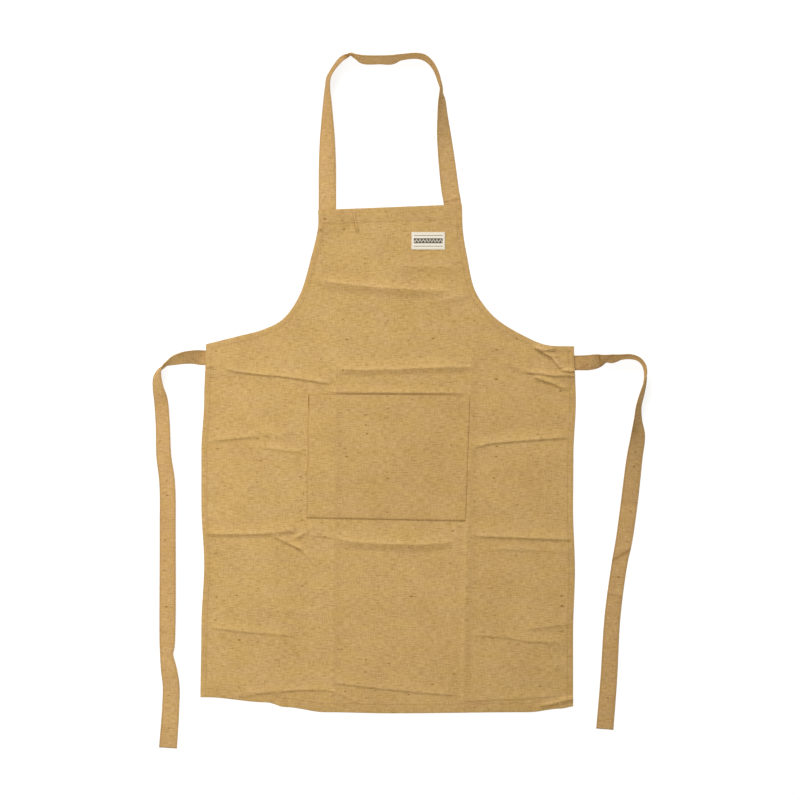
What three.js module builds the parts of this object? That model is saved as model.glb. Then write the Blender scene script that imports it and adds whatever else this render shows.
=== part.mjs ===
// A cloth kitchen apron laid flat with its front side up: one body of bib and skirt, a patch pocket,
// a small sewn label, a neck strap spread out above the bib, and two ties laid down beside the skirt.
// Millimetres. +Z points up from the surface that it lies on, and +Y from the hem to the neck strap.
// The origin is on the underside, at the middle of the waist line.
import * as THREE from "three";

// Cloth and seams
const CLOTH = 1.2;
const HEM_RISE = 0.6;
const CLEARANCE = 0.3;
const SEAM_TUCK = 25;

// Body
const WAIST_WIDTH = 650;
const SKIRT_LENGTH = 645;
const BIB_TOP_WIDTH = 254;
const BIB_HEIGHT = 247;
const BIB_SKEW = 5;
const SIDE_HEM = 12;
const TOP_HEM = 27;
const BOTTOM_HEM = 18;

// Pocket
const POCKET_WIDTH = 285;
const POCKET_DEPTH = 222;
const POCKET_DROP = 84;
const POCKET_HEM = 22;
const POCKET_GAPE = 6;

// Label
const LABEL_WIDTH = 59;
const LABEL_HEIGHT = 31;
const LABEL_THICKNESS = 1;
const LABEL_FROM_TOP = 49;
const LABEL_FROM_SIDE = 30;

// Neck strap and ties
const STRAP_WIDTH = 31;
const TIE_WIDTH = 30;
const STRAP_THICKNESS = 1.6;
const STRAP_INSET = 1;
const NECK_LOOP_RISE = 270;
const LEFT_TIE_DROP = 19;
const LEFT_TIE_REACH = 85;
const LEFT_TIE_FALL = 689;
const RIGHT_TIE_DROP = 28;
const RIGHT_TIE_REACH = 125;
const RIGHT_TIE_FALL = 647;

// Folds that the cloth keeps from its packing
const FOLD_HEIGHT = 3;
const FOLD_SPREAD = 40;
const PRESS_HEIGHT = 1.5;
const PRESS_SPREAD = 45;
const RIDGE_FADE = 0.2;
const SEAT_SLOPE = 8;
const TIE_SLOPE = 25;

// Mesh spacing, of which the last value is in degrees
const ROW_STEP = 21;
const FINE_ROW_STEP = 12;
const HEM_STEP = 1;
const WAIST_SAG = 32;
const BODY_COLUMNS = 26;
const BIB_ROWS = 20;
const STRAP_STEP = 13;
const STRAP_TURN_STEP = 9;

// Values that follow
const HALF_WAIST = WAIST_WIDTH / 2;
const HALF_BIB = BIB_TOP_WIDTH / 2;
const STRAP_SPREAD = HALF_BIB - STRAP_WIDTH / 2 - STRAP_INSET;
const STRAP_LIFT = STRAP_THICKNESS + CLEARANCE;

// Armhole edges from the bib's corner to the waist corner.
// out is a share of the way from one corner out to the other, and up is a share of the bib's height.
const LEFT_ARMHOLE = [
  { out: 0, up: 1 },
  { out: 0, up: 0.88 },
  { out: 0.06, up: 0.66 },
  { out: 0.17, up: 0.37 },
  { out: 0.32, up: 0.2 },
  { out: 0.5, up: 0.125 },
  { out: 0.71, up: 0.08 },
  { out: 1, up: 0.02 },
];
const RIGHT_ARMHOLE = [
  { out: 0, up: 1 },
  { out: 0.01, up: 0.81 },
  { out: 0.045, up: 0.64 },
  { out: 0.11, up: 0.41 },
  { out: 0.2, up: 0.29 },
  { out: 0.32, up: 0.19 },
  { out: 0.55, up: 0.08 },
  { out: 0.75, up: 0.015 },
  { out: 1, up: 0.005 },
];

// Side edges of the skirt, as shares of half the waist width, at shares of the skirt's length.
const SKIRT_SIDES = [
  { down: 0, left: 1, right: 1 },
  { down: 0.15, left: 1.01, right: 1.01 },
  { down: 0.3, left: 1.025, right: 0.997 },
  { down: 0.45, left: 1.025, right: 0.995 },
  { down: 0.62, left: 1.01, right: 1.005 },
  { down: 0.8, left: 1.025, right: 0.995 },
  { down: 1, left: 1.03, right: 0.995 },
];

// Bottom edge: how far down it reaches, as a share of the skirt's length, at shares of half the waist.
const BOTTOM_EDGE = [
  { across: -1, down: 0.959 },
  { across: -0.67, down: 0.973 },
  { across: -0.57, down: 0.986 },
  { across: -0.35, down: 1 },
  { across: 0, down: 1.003 },
  { across: 0.75, down: 1 },
  { across: 0.93, down: 0.99 },
  { across: 1, down: 0.984 },
];

// Creases, each a ridge from its left end to its right end with one slope above it and one below.
// An end is given by two shares: across of half the waist width, then down of the skirt's length, or,
// where it is negative, up of the bib's height. height, above and below are shares of the fold sizes.
const CREASES = [
  { left: [-0.3, -0.52], right: [0.1, -0.45], height: 0.8, above: 0.7, below: 0.5 },
  { left: [0.16, -0.56], right: [0.42, -0.57], height: 0.6, above: 0.55, below: 0.5 },
  { left: [0.18, -0.36], right: [0.44, -0.4], height: 0.6, above: 0.6, below: 0.5 },
  { left: [-0.34, 0.062], right: [0.06, 0.064], height: 0.65, above: 0.5, below: 0.5 },
  { left: [0, 0.065], right: [0.45, 0.052], height: 0.65, above: 0.5, below: 0.5 },
  { left: [-0.92, 0.062], right: [-0.3, 0.095], height: 0.9, above: 0.7, below: 0.5 },
  { left: [0.62, 0.04], right: [0.99, 0.07], height: 0.9, above: 0.5, below: 0.5 },
  { left: [0.8, 0.08], right: [0.97, 0.115], height: 0.6, above: 0.5, below: 0.5 },
  { left: [-0.98, 0.255], right: [-0.58, 0.24], height: 0.7, above: 0.7, below: 0.6 },
  { left: [0.5, 0.27], right: [0.97, 0.245], height: 0.7, above: 0.7, below: 0.6 },
  { left: [-1, 0.515], right: [-0.45, 0.505], height: 0.9, above: 0.8, below: 0.6 },
  { left: [-0.3, 0.53], right: [0.36, 0.54], height: 1, above: 0.4, below: 0.6 },
  { left: [0.45, 0.52], right: [1, 0.532], height: 0.9, above: 0.8, below: 0.6 },
  { left: [-0.98, 0.77], right: [-0.52, 0.79], height: 0.7, above: 0.8, below: 0.6 },
  { left: [0.45, 0.79], right: [0.98, 0.815], height: 0.7, above: 0.8, below: 0.6 },
  { left: [-0.84, 0.957], right: [-0.32, 0.942], height: 0.7, above: 0.7, below: 0.5 },
  { left: [-0.3, 0.928], right: [0.4, 0.955], height: 0.8, above: 0.7, below: 0.5 },
];

// Upright fold lines, pressed in from just above the waist down to the hem, with ends as above.
const PRESS_FOLDS = [
  { foot: [-0.315, 1], head: [-0.3, -0.2] },
  { foot: [0.4, 1], head: [0.44, -0.2] },
];

// Neck strap from its left seam round to its right seam. out is a share of the spread of its seams and
// up a share of the loop's rise above the bib. turn is how far its inner edge is raised, in degrees.
const NECK_STATIONS = [
  { out: -1, up: 0, turn: 0 },
  { out: -1, up: 0.19, turn: 3 },
  { out: -1, up: 0.4, turn: 24 },
  { out: -1, up: 0.56, turn: 45 },
  { out: -1, up: 0.71, turn: 63 },
  { out: -1, up: 0.8, turn: 74 },
  { out: -0.985, up: 0.86, turn: 76 },
  { out: -0.93, up: 0.905, turn: 76 },
  { out: -0.86, up: 0.94, turn: 74 },
  { out: -0.78, up: 0.967, turn: 69 },
  { out: -0.69, up: 0.995, turn: 78 },
  { out: -0.62, up: 1.005, turn: 92 },
  { out: -0.54, up: 0.993, turn: 107 },
  { out: -0.44, up: 0.975, turn: 117 },
  { out: -0.15, up: 0.963, turn: 116 },
  { out: 0.03, up: 0.961, turn: 118 },
  { out: 0.17, up: 0.975, turn: 107 },
  { out: 0.43, up: 0.981, turn: 105 },
  { out: 0.55, up: 0.967, turn: 107 },
  { out: 0.65, up: 0.933, turn: 106 },
  { out: 0.72, up: 0.882, turn: 104 },
  { out: 0.77, up: 0.82, turn: 100 },
  { out: 0.8, up: 0.76, turn: 88 },
  { out: 0.82, up: 0.69, turn: 68 },
  { out: 0.835, up: 0.58, turn: 54 },
  { out: 0.865, up: 0.445, turn: 36 },
  { out: 0.91, up: 0.275, turn: 18 },
  { out: 0.96, up: 0.1, turn: 3 },
  { out: 1, up: 0, turn: 0 },
];

// Ties from their seams to their free ends. out is a share of the tie's reach beyond the side edge and
// down a share of its fall. turn is how far its outer edge is raised, in degrees, past upright to a half
// twist. width is a share of the tie's width, which its seam gathers in a little.
const LEFT_TIE_STATIONS = [
  { out: 0, down: 0, turn: 0, width: 0.87 },
  { out: 0.06, down: 0, turn: 0, width: 0.87 },
  { out: 0.25, down: -0.003, turn: 20, width: 0.9 },
  { out: 0.47, down: 0, turn: 38, width: 0.95 },
  { out: 0.67, down: 0.008, turn: 60, width: 1 },
  { out: 0.79, down: 0.016, turn: 77, width: 1 },
  { out: 0.88, down: 0.024, turn: 90, width: 1 },
  { out: 0.96, down: 0.035, turn: 106, width: 1 },
  { out: 1, down: 0.052, turn: 121, width: 1 },
  { out: 0.985, down: 0.077, turn: 131, width: 1 },
  { out: 0.93, down: 0.108, turn: 145, width: 1 },
  { out: 0.89, down: 0.172, turn: 148, width: 1 },
  { out: 0.87, down: 0.25, turn: 153, width: 1 },
  { out: 0.8, down: 0.32, turn: 160, width: 1 },
  { out: 0.79, down: 0.45, turn: 163, width: 1 },
  { out: 0.8, down: 0.74, turn: 160, width: 1 },
  { out: 0.76, down: 0.795, turn: 167, width: 1 },
  { out: 0.72, down: 0.84, turn: 176, width: 1 },
  { out: 0.73, down: 0.9, turn: 180, width: 1.02 },
  { out: 0.785, down: 1, turn: 180, width: 1.06 },
];
const RIGHT_TIE_STATIONS = [
  { out: 0, down: 0, turn: 0, width: 0.87 },
  { out: 0.05, down: 0, turn: 0, width: 0.87 },
  { out: 0.22, down: -0.001, turn: 9, width: 0.92 },
  { out: 0.35, down: -0.005, turn: 36, width: 1 },
  { out: 0.44, down: -0.011, turn: 64, width: 1 },
  { out: 0.535, down: -0.011, turn: 61, width: 1 },
  { out: 0.66, down: -0.015, turn: 73, width: 1 },
  { out: 0.79, down: -0.016, turn: 75, width: 1 },
  { out: 0.9, down: -0.009, turn: 75, width: 1 },
  { out: 0.97, down: 0.006, turn: 79, width: 1 },
  { out: 1, down: 0.029, turn: 90, width: 1 },
  { out: 0.985, down: 0.056, turn: 102, width: 1 },
  { out: 0.945, down: 0.086, turn: 112, width: 1 },
  { out: 0.905, down: 0.119, turn: 119, width: 1 },
  { out: 0.9, down: 0.157, turn: 126, width: 1 },
  { out: 0.895, down: 0.2, turn: 146, width: 1 },
  { out: 0.85, down: 0.258, turn: 160, width: 1 },
  { out: 0.77, down: 0.39, turn: 180, width: 1 },
  { out: 0.65, down: 0.54, turn: 180, width: 1 },
  { out: 0.54, down: 0.69, turn: 180, width: 1 },
  { out: 0.485, down: 0.865, turn: 180, width: 1 },
  { out: 0.43, down: 1, turn: 180, width: 1.02 },
];

function smooth(share) {
  const t = THREE.MathUtils.clamp(share, 0, 1);
  return t * t * (3 - 2 * t);
}

// Value of one column of a table at a place along its key column, eased from row to row.
function fromTable(table, key, place, column) {
  const next = table.findIndex((row) => row[key] >= place);
  if (next < 0) return table.at(-1)[column];
  if (next === 0) return table[0][column];
  const before = table[next - 1];
  const after = table[next];
  const share = smooth((place - before[key]) / (after[key] - before[key]));
  return before[column] + share * (after[column] - before[column]);
}

function evenStops(from, to, step) {
  const count = Math.max(1, Math.round((to - from) / step));
  return Array.from({ length: count + 1 }, (_, index) => from + ((to - from) * index) / count);
}

// Point of the body at a share across half the waist and a share down the skirt or up the bib.
function bodyPlace([across, down]) {
  const height = down < 0 ? -down * BIB_HEIGHT : -down * SKIRT_LENGTH;
  return new THREE.Vector2(across * HALF_WAIST, height);
}

function bibTop(x) {
  return BIB_HEIGHT + (BIB_SKEW * x) / HALF_BIB;
}

function skirtSide(side, depth) {
  const share = fromTable(SKIRT_SIDES, "down", depth / SKIRT_LENGTH, side < 0 ? "left" : "right");
  return side * share * HALF_WAIST;
}

function armholeCurve(table, side) {
  const height = bibTop(side * HALF_BIB);
  const points = table.map(({ out, up }) => {
    const x = HALF_BIB + out * (HALF_WAIST - HALF_BIB);
    return new THREE.Vector3(side * x, up * height, 0);
  });
  return new THREE.CatmullRomCurve3(points, false, "centripetal");
}

// Height at a point of a ridge above the flat cloth. It runs between two ends and fades out before them.
function ridge(point, [from, to], height, [above, below]) {
  const line = to.clone().sub(from);
  const length = line.length();
  line.divideScalar(length);
  const offset = point.clone().sub(from);
  const along = offset.dot(line) / length;
  const aside = line.cross(offset);
  const spread = aside > 0 ? above : below;
  const fade = smooth(Math.min(along, 1 - along) / RIDGE_FADE);
  return height * fade * smooth(1 - Math.abs(aside) / spread);
}

// How far the cloth is held up by a strap end that lies under it. It is level over the strap's end and
// over one slope's length beyond, and comes down within the next.
function strapSeat(x, y, seat) {
  const outX = (Math.abs(x - seat.x) - seat.halfX) / seat.slopeX;
  const outY = (Math.abs(y - seat.y) - seat.halfY) / seat.slopeY;
  return STRAP_LIFT * smooth(2 - outX) * smooth(2 - outY);
}

// Strap ends that lie under the body: their middles at its edge, their half sizes, and the lengths
// within which the cloth over them comes down.
function strapSeats() {
  const neckSlopes = { slopeX: SEAT_SLOPE, slopeY: SEAT_SLOPE };
  const tieSlopes = { slopeX: TIE_SLOPE, slopeY: FINE_ROW_STEP };
  const necks = [-STRAP_SPREAD, STRAP_SPREAD].map((x) => (
    { x, y: bibTop(x), halfX: STRAP_WIDTH / 2, halfY: SEAM_TUCK, ...neckSlopes }
  ));
  const ties = [[-1, LEFT_TIE_DROP], [1, RIGHT_TIE_DROP]].map(([side, drop]) => (
    { x: skirtSide(side, drop), y: -drop, halfX: SEAM_TUCK, halfY: TIE_WIDTH / 2, ...tieSlopes }
  ));
  return [...necks, ...ties];
}

const SEATS = strapSeats();

// Height of the body's underside above the surface that it lies on.
function lift(x, y) {
  const point = new THREE.Vector2(x, y);
  let height = 0;
  for (const crease of CREASES) {
    const ends = [bodyPlace(crease.left), bodyPlace(crease.right)];
    const slopes = [crease.above * FOLD_SPREAD, crease.below * FOLD_SPREAD];
    height += ridge(point, ends, crease.height * FOLD_HEIGHT, slopes);
  }
  for (const fold of PRESS_FOLDS) {
    const ends = [bodyPlace(fold.foot), bodyPlace(fold.head)];
    height += ridge(point, ends, PRESS_HEIGHT, [PRESS_SPREAD, PRESS_SPREAD]);
  }
  return height + Math.max(...SEATS.map((seat) => strapSeat(x, y, seat)));
}

// Closed mesh of a sheet. Its grid's rows run down from the top and its columns run to the right, and
// each place in the grid has x, y and the heights of its underside and its upper side.
function sheetGeometry(grid) {
  const rows = grid.length;
  const columns = grid[0].length;
  const places = grid.flat();
  const positions = [
    ...places.flatMap(({ x, y, high }) => [x, y, high]),
    ...places.flatMap(({ x, y, low }) => [x, y, low]),
  ];
  const under = rows * columns;
  const at = (row, column) => row * columns + column;
  const faces = [];
  for (let row = 0; row < rows - 1; row += 1) {
    for (let column = 0; column < columns - 1; column += 1) {
      const a = at(row, column);
      const b = at(row + 1, column);
      const c = at(row + 1, column + 1);
      const d = at(row, column + 1);
      faces.push(a, b, c, a, c, d);
      faces.push(under + a, under + c, under + b, under + a, under + d, under + c);
    }
  }
  const rowNumbers = evenStops(0, rows - 1, 1);
  const columnNumbers = evenStops(0, columns - 1, 1);
  const rim = [
    ...rowNumbers.slice(0, -1).map((row) => at(row, 0)),
    ...columnNumbers.slice(0, -1).map((column) => at(rows - 1, column)),
    ...rowNumbers.slice(1).reverse().map((row) => at(row, columns - 1)),
    ...columnNumbers.slice(1).reverse().map((column) => at(0, column)),
  ];
  rim.forEach((here, index) => {
    const next = rim[(index + 1) % rim.length];
    faces.push(here, under + here, under + next, here, under + next, next);
  });
  return indexedGeometry(positions, faces);
}

function indexedGeometry(positions, faces) {
  const geometry = new THREE.BufferGeometry();
  geometry.setAttribute("position", new THREE.Float32BufferAttribute(positions, 3));
  geometry.setIndex(faces);
  geometry.computeVertexNormals();
  return geometry;
}

// Place up the bib of the middle of a row. Within the top hem the rows keep level with their ends.
function bibMiddle(stop, hemLine) {
  const hemShare = Math.min(stop / hemLine, 1);
  const lowerShare = Math.max(stop - hemLine, 0) / (1 - hemLine);
  return BIB_HEIGHT - hemShare * TOP_HEM - lowerShare * (BIB_HEIGHT - TOP_HEM + WAIST_SAG);
}

// Rows of the body, each with its two end points on the edges and the height of its middle.
function bodyRows() {
  const leftEdge = armholeCurve(LEFT_ARMHOLE, -1);
  const rightEdge = armholeCurve(RIGHT_ARMHOLE, 1);
  const edgeLength = (leftEdge.getLength() + rightEdge.getLength()) / 2;
  const hemLine = TOP_HEM / edgeLength;
  const halfStep = HEM_STEP / 2 / edgeLength;
  const bibStops = [0, hemLine / 2, hemLine - halfStep, ...evenStops(hemLine + halfStep, 1, 1 / BIB_ROWS)];
  const bib = bibStops.map((stop) => ({
    left: leftEdge.getPointAt(stop),
    right: rightEdge.getPointAt(stop),
    middle: bibMiddle(stop, hemLine),
    hem: stop < hemLine,
  }));
  const cornerDepth = SIDE_HEM + HEM_STEP;
  const fineEnd = RIGHT_TIE_DROP + 3 * FINE_ROW_STEP;
  const hemDepth = SKIRT_LENGTH - BOTTOM_HEM;
  const skirtStops = [
    ...evenStops(cornerDepth, fineEnd, FINE_ROW_STEP),
    ...evenStops(fineEnd, hemDepth - HEM_STEP / 2, ROW_STEP).slice(1),
    hemDepth + HEM_STEP / 2,
    SKIRT_LENGTH,
  ];
  const skirt = skirtStops.map((depth) => ({
    left: new THREE.Vector3(skirtSide(-1, depth), -depth, 0),
    right: new THREE.Vector3(skirtSide(1, depth), -depth, 0),
    middle: -WAIST_SAG - depth * (1 - WAIST_SAG / SKIRT_LENGTH),
    hem: depth > hemDepth,
  }));
  return [...bib, ...skirt];
}

// Direction from each edge point into the cloth, long enough that a step of one keeps a hem's width of one.
function hemDirections(points, inward, first, last) {
  const normals = points.slice(1).map((point, index) => {
    const along = point.clone().sub(points[index]).normalize();
    return new THREE.Vector3(-along.y, along.x, 0).multiplyScalar(inward);
  });
  return points.map((_, index) => {
    if (index === 0) return first;
    if (index === points.length - 1) return last;
    const before = normals[index - 1];
    const after = normals[index];
    return before.clone().add(after).divideScalar(1 + before.dot(after));
  });
}

function bodyGrid() {
  const rows = bodyRows();
  const lefts = rows.map((row) => row.left);
  const rights = rows.map((row) => row.right);
  const topLine = rights[0].clone().sub(lefts[0]).normalize();
  const level = new THREE.Vector3(1, 0, 0);
  const leftWays = hemDirections(lefts, 1, topLine, level);
  const rightWays = hemDirections(rights, -1, topLine.clone().negate(), level.clone().negate());
  const hemStops = [0, SIDE_HEM - HEM_STEP / 2, SIDE_HEM + HEM_STEP / 2];
  return rows.map((row, index) => {
    const leftHem = hemStops.map((stop) => row.left.clone().addScaledVector(leftWays[index], stop));
    const rightHem = hemStops.map((stop) => row.right.clone().addScaledVector(rightWays[index], stop));
    const start = leftHem.at(-1);
    const end = rightHem.at(-1);
    const dip = row.middle - (start.y + end.y) / 2;
    const inner = evenStops(0, 1, 1 / BODY_COLUMNS).slice(1, -1).map((share) => {
      const point = start.clone().lerp(end, share);
      point.y += dip * (1 - (2 * share - 1) ** 2);
      return point;
    });
    const points = [...leftHem, ...inner, ...rightHem.reverse()];
    return points.map((point, column) => {
      const reach = fromTable(BOTTOM_EDGE, "across", point.x / HALF_WAIST, "down");
      const x = point.x;
      const y = point.y < 0 ? point.y * reach : point.y;
      const atSide = column < 2 || column > points.length - 3;
      const low = lift(x, y);
      return { x, y, low, high: low + CLOTH + (row.hem || atSide ? HEM_RISE : 0) };
    });
  });
}

// Pocket corners as shares of its width across and of its depth down from its mouth.
const POCKET_CORNERS = {
  mouthLeft: { across: -0.505, down: 0 },
  mouthRight: { across: 0.495, down: 0.008 },
  footLeft: { across: -0.519, down: 0.98 },
  footRight: { across: 0.468, down: 1.005 },
};
const POCKET_ROWS = 10;
const POCKET_COLUMNS = 14;
const POCKET_SIDE_SLOPE = 0.17;
const POCKET_OPEN_DEPTH = 0.45;

// How far the pocket stands off the body, as a share, from its mouth's middle to its sewn edges.
function pocketStandoff(across, down) {
  const fromSide = Math.min(across, 1 - across) / POCKET_SIDE_SLOPE;
  const fromFoot = (1 - down) / (1 - POCKET_OPEN_DEPTH);
  return smooth(fromSide) * smooth(fromFoot);
}

function pocketGrid() {
  const corner = ({ across, down }) => (
    new THREE.Vector2(across * POCKET_WIDTH, -POCKET_DROP - down * POCKET_DEPTH)
  );
  const hemLine = POCKET_HEM / POCKET_DEPTH;
  const halfStep = HEM_STEP / 2 / POCKET_DEPTH;
  const downStops = [0, hemLine - halfStep, ...evenStops(hemLine + halfStep, 1, 1 / POCKET_ROWS)];
  return downStops.map((down) => {
    const left = corner(POCKET_CORNERS.mouthLeft).lerp(corner(POCKET_CORNERS.footLeft), down);
    const right = corner(POCKET_CORNERS.mouthRight).lerp(corner(POCKET_CORNERS.footRight), down);
    return evenStops(0, 1, 1 / POCKET_COLUMNS).map((across) => {
      const { x, y } = left.clone().lerp(right, across);
      const seat = lift(x, y) + CLOTH + 1.5 * CLEARANCE;
      const low = seat + POCKET_GAPE * pocketStandoff(across, down);
      return { x, y, low, high: low + CLOTH + (down < hemLine ? HEM_RISE : 0) };
    });
  });
}

function labelGrid() {
  const right = HALF_BIB - LABEL_FROM_SIDE;
  const top = bibTop(HALF_BIB) - LABEL_FROM_TOP;
  return evenStops(top - LABEL_HEIGHT, top, LABEL_HEIGHT / 3).reverse().map((y) => (
    evenStops(right - LABEL_WIDTH, right, LABEL_WIDTH / 5).map((x) => {
      const low = lift(x, y) + CLOTH + CLEARANCE;
      return { x, y, low, high: low + LABEL_THICKNESS };
    })
  ));
}

// Closed mesh of a flat strap that lies on the surface and turns about its own line. Its stations have
// x, y, turn and width, and edge says on which side of its way the raised edge is, 1 left or -1 right.
function strapGeometry(stations, edge) {
  const line = new THREE.CatmullRomCurve3(
    stations.map(({ x, y }) => new THREE.Vector3(x, y, 0)), false, "centripetal",
  );
  const last = stations.length - 1;
  const rings = [];
  for (let index = 0; index < last; index += 1) {
    const from = stations[index];
    const to = stations[index + 1];
    const length = Math.hypot(to.x - from.x, to.y - from.y);
    const twist = Math.abs(to.turn - from.turn);
    const steps = Math.ceil(Math.max(length / STRAP_STEP, twist / STRAP_TURN_STEP));
    for (let step = 0; step < steps; step += 1) {
      rings.push(strapRing(line, stations, index, step / steps, edge));
    }
  }
  rings.push(strapRing(line, stations, last - 1, 1, edge));
  return ringsGeometry(rings, edge);
}

function strapRing(line, stations, index, share, edge) {
  const from = stations[index];
  const to = stations[index + 1];
  const eased = smooth(share);
  const turn = THREE.MathUtils.degToRad(from.turn + eased * (to.turn - from.turn));
  const halfWidth = (from.width + eased * (to.width - from.width)) / 2;
  const halfThick = STRAP_THICKNESS / 2;
  const place = (index + share) / (stations.length - 1);
  const centre = line.getPoint(place);
  centre.z = halfWidth * Math.sin(turn) + halfThick * Math.abs(Math.cos(turn));
  const way = line.getTangent(place);
  const aside = new THREE.Vector3(-way.y, way.x, 0).normalize().multiplyScalar(edge);
  const up = new THREE.Vector3(0, 0, 1);
  const wide = aside.clone().multiplyScalar(Math.cos(turn)).addScaledVector(up, Math.sin(turn));
  const thick = aside.clone().multiplyScalar(-Math.sin(turn)).addScaledVector(up, Math.cos(turn));
  return [[1, 1], [-1, 1], [-1, -1], [1, -1]].map(([w, t]) => (
    centre.clone().addScaledVector(wide, w * halfWidth).addScaledVector(thick, t * halfThick)
  ));
}

// Closed mesh through rings of four corners, with a flat face at each end. Both wide faces are split
// along like diagonals, so that the strap keeps its thickness where it twists.
function ringsGeometry(rings, edge) {
  const corners = rings[0].length;
  const end = (rings.length - 1) * corners;
  const faces = [];
  const quad = (a, b, c, d) => faces.push(...(edge > 0 ? [a, b, c, a, c, d] : [a, c, b, a, d, c]));
  for (let here = 0; here < end; here += corners) {
    const next = here + corners;
    quad(here, here + 1, next + 1, next);
    quad(here + 1, here + 2, next + 2, next + 1);
    quad(here + 3, next + 3, next + 2, here + 2);
    quad(here + 3, here, next, next + 3);
  }
  quad(3, 2, 1, 0);
  quad(end, end + 1, end + 2, end + 3);
  return indexedGeometry(rings.flat().flatMap((point) => point.toArray()), faces);
}

function neckStations() {
  const laid = NECK_STATIONS.map(({ out, up, turn }) => {
    const x = out * STRAP_SPREAD;
    return { x, y: bibTop(x) + up * NECK_LOOP_RISE, turn, width: STRAP_WIDTH };
  });
  const tucked = (station) => ({ ...station, y: station.y - SEAM_TUCK });
  return [tucked(laid[0]), ...laid, tucked(laid.at(-1))];
}

function tieStations(table, side, drop, reach, fall) {
  const seam = skirtSide(side, drop);
  const laid = table.map(({ out, down, turn, width }) => (
    { x: seam + side * out * reach, y: -drop - down * fall, turn, width: width * TIE_WIDTH }
  ));
  return [{ ...laid[0], x: seam - side * SEAM_TUCK }, ...laid];
}

function clothPiece(name, geometry, colour) {
  const material = new THREE.MeshStandardMaterial({ color: colour, roughness: 0.9, metalness: 0 });
  const mesh = new THREE.Mesh(geometry, material);
  mesh.name = name;
  return mesh;
}

const BODY_COLOUR = 0xc59f66;
const POCKET_COLOUR = 0xc29c64;
const STRAP_COLOUR = 0xc8a26a;
const LABEL_COLOUR = 0xebe4d4;

const leftTie = tieStations(LEFT_TIE_STATIONS, -1, LEFT_TIE_DROP, LEFT_TIE_REACH, LEFT_TIE_FALL);
const rightTie = tieStations(RIGHT_TIE_STATIONS, 1, RIGHT_TIE_DROP, RIGHT_TIE_REACH, RIGHT_TIE_FALL);

const apron = new THREE.Group();
apron.add(clothPiece("front_panel", sheetGeometry(bodyGrid()), BODY_COLOUR));
apron.add(clothPiece("pocket", sheetGeometry(pocketGrid()), POCKET_COLOUR));
apron.add(clothPiece("label", sheetGeometry(labelGrid()), LABEL_COLOUR));
apron.add(clothPiece("neck_strap", strapGeometry(neckStations(), -1), STRAP_COLOUR));
apron.add(clothPiece("waist_tie_left", strapGeometry(leftTie, -1), STRAP_COLOUR));
apron.add(clothPiece("waist_tie_right", strapGeometry(rightTie, 1), STRAP_COLOUR));

export default apron;
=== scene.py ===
"""A cloth kitchen apron laid flat with its front side up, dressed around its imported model.

Lengths are in metres. +Z points up from the surface that the apron lies on, and +Y from the hem to
the neck strap. The origin is on the underside, at the middle of the waist line.
"""
import math
from collections import namedtuple

import bpy
import numpy as np
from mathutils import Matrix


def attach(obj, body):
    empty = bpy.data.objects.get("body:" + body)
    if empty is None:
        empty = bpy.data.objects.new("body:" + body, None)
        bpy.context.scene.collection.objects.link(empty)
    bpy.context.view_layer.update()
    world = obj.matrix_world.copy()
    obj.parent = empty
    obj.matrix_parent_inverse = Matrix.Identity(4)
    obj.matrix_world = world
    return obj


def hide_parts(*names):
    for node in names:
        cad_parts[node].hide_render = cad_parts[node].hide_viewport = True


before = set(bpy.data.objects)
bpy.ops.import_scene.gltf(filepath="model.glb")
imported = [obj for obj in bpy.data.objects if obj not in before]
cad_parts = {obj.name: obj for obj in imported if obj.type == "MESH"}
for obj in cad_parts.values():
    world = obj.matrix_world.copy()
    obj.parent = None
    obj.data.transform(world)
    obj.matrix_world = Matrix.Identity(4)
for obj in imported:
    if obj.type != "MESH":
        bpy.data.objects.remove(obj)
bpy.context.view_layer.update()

# Cloth and seams. HEM_SHOW is the share of a hem's rise that shows from above, and EDGE_END the share
# of its thickness that cloth keeps at its edge.
CLOTH = 0.0012
HEM_RISE = 0.0006
HEM_STEP = 0.001
HEM_SHOW = 0.25
CLEARANCE = 0.0003
SEAM_TUCK = 0.025
SEAM_INSET = 0.002
SEAM_GROOVE = 0.0008
SEAM_DEPTH = 0.00025
EDGE_ROUNDING = 0.0007
EDGE_END = 0.2

# Body
WAIST_WIDTH = 0.65
SKIRT_LENGTH = 0.645
BIB_TOP_WIDTH = 0.254
BIB_HEIGHT = 0.247
BIB_SKEW = 0.005
SIDE_HEM = 0.012
TOP_HEM = 0.027
BOTTOM_HEM = 0.018
WAIST_SAG = 0.032
CORNER_REACH = 0.02

# Pocket. Its gape is full from the share POCKET_SIDE_SLOPE in from each side, and down to the share
# POCKET_OPEN_DEPTH of its depth. Its left edge puckers.
POCKET_WIDTH = 0.285
POCKET_DEPTH = 0.222
POCKET_DROP = 0.084
POCKET_HEM = 0.022
POCKET_GAPE = 0.006
POCKET_SIDE_SLOPE = 0.4
POCKET_OPEN_DEPTH = 0.45
POCKET_PUCKER = 0.0009
POCKET_PUCKERS = 2.6
PUCKER_FADE = 0.25

# Label, with a band and two fine lines that are measured from its middle
LABEL_WIDTH = 0.059
LABEL_HEIGHT = 0.031
LABEL_THICKNESS = 0.001
LABEL_FROM_TOP = 0.049
LABEL_FROM_SIDE = 0.03
LABEL_SEAM = 0.0016
LABEL_MARGIN = 0.004
BAND_HEIGHT = 0.009
BAND_STRENGTH = 0.65
BAND_WEAR = 0.5
FINE_LINE_OUT = 0.0095
FINE_LINE_WIDTH = 0.001
ZIGZAG_PITCH = 0.006
ZIGZAG_HEIGHT = 0.0048
ZIGZAG_WIDTH = 0.0016
RIB_PITCH = 0.0007
RIB_RELIEF = 0.3
LABEL_WEAR_SPOT = (0.002, 0.0008)

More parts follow.
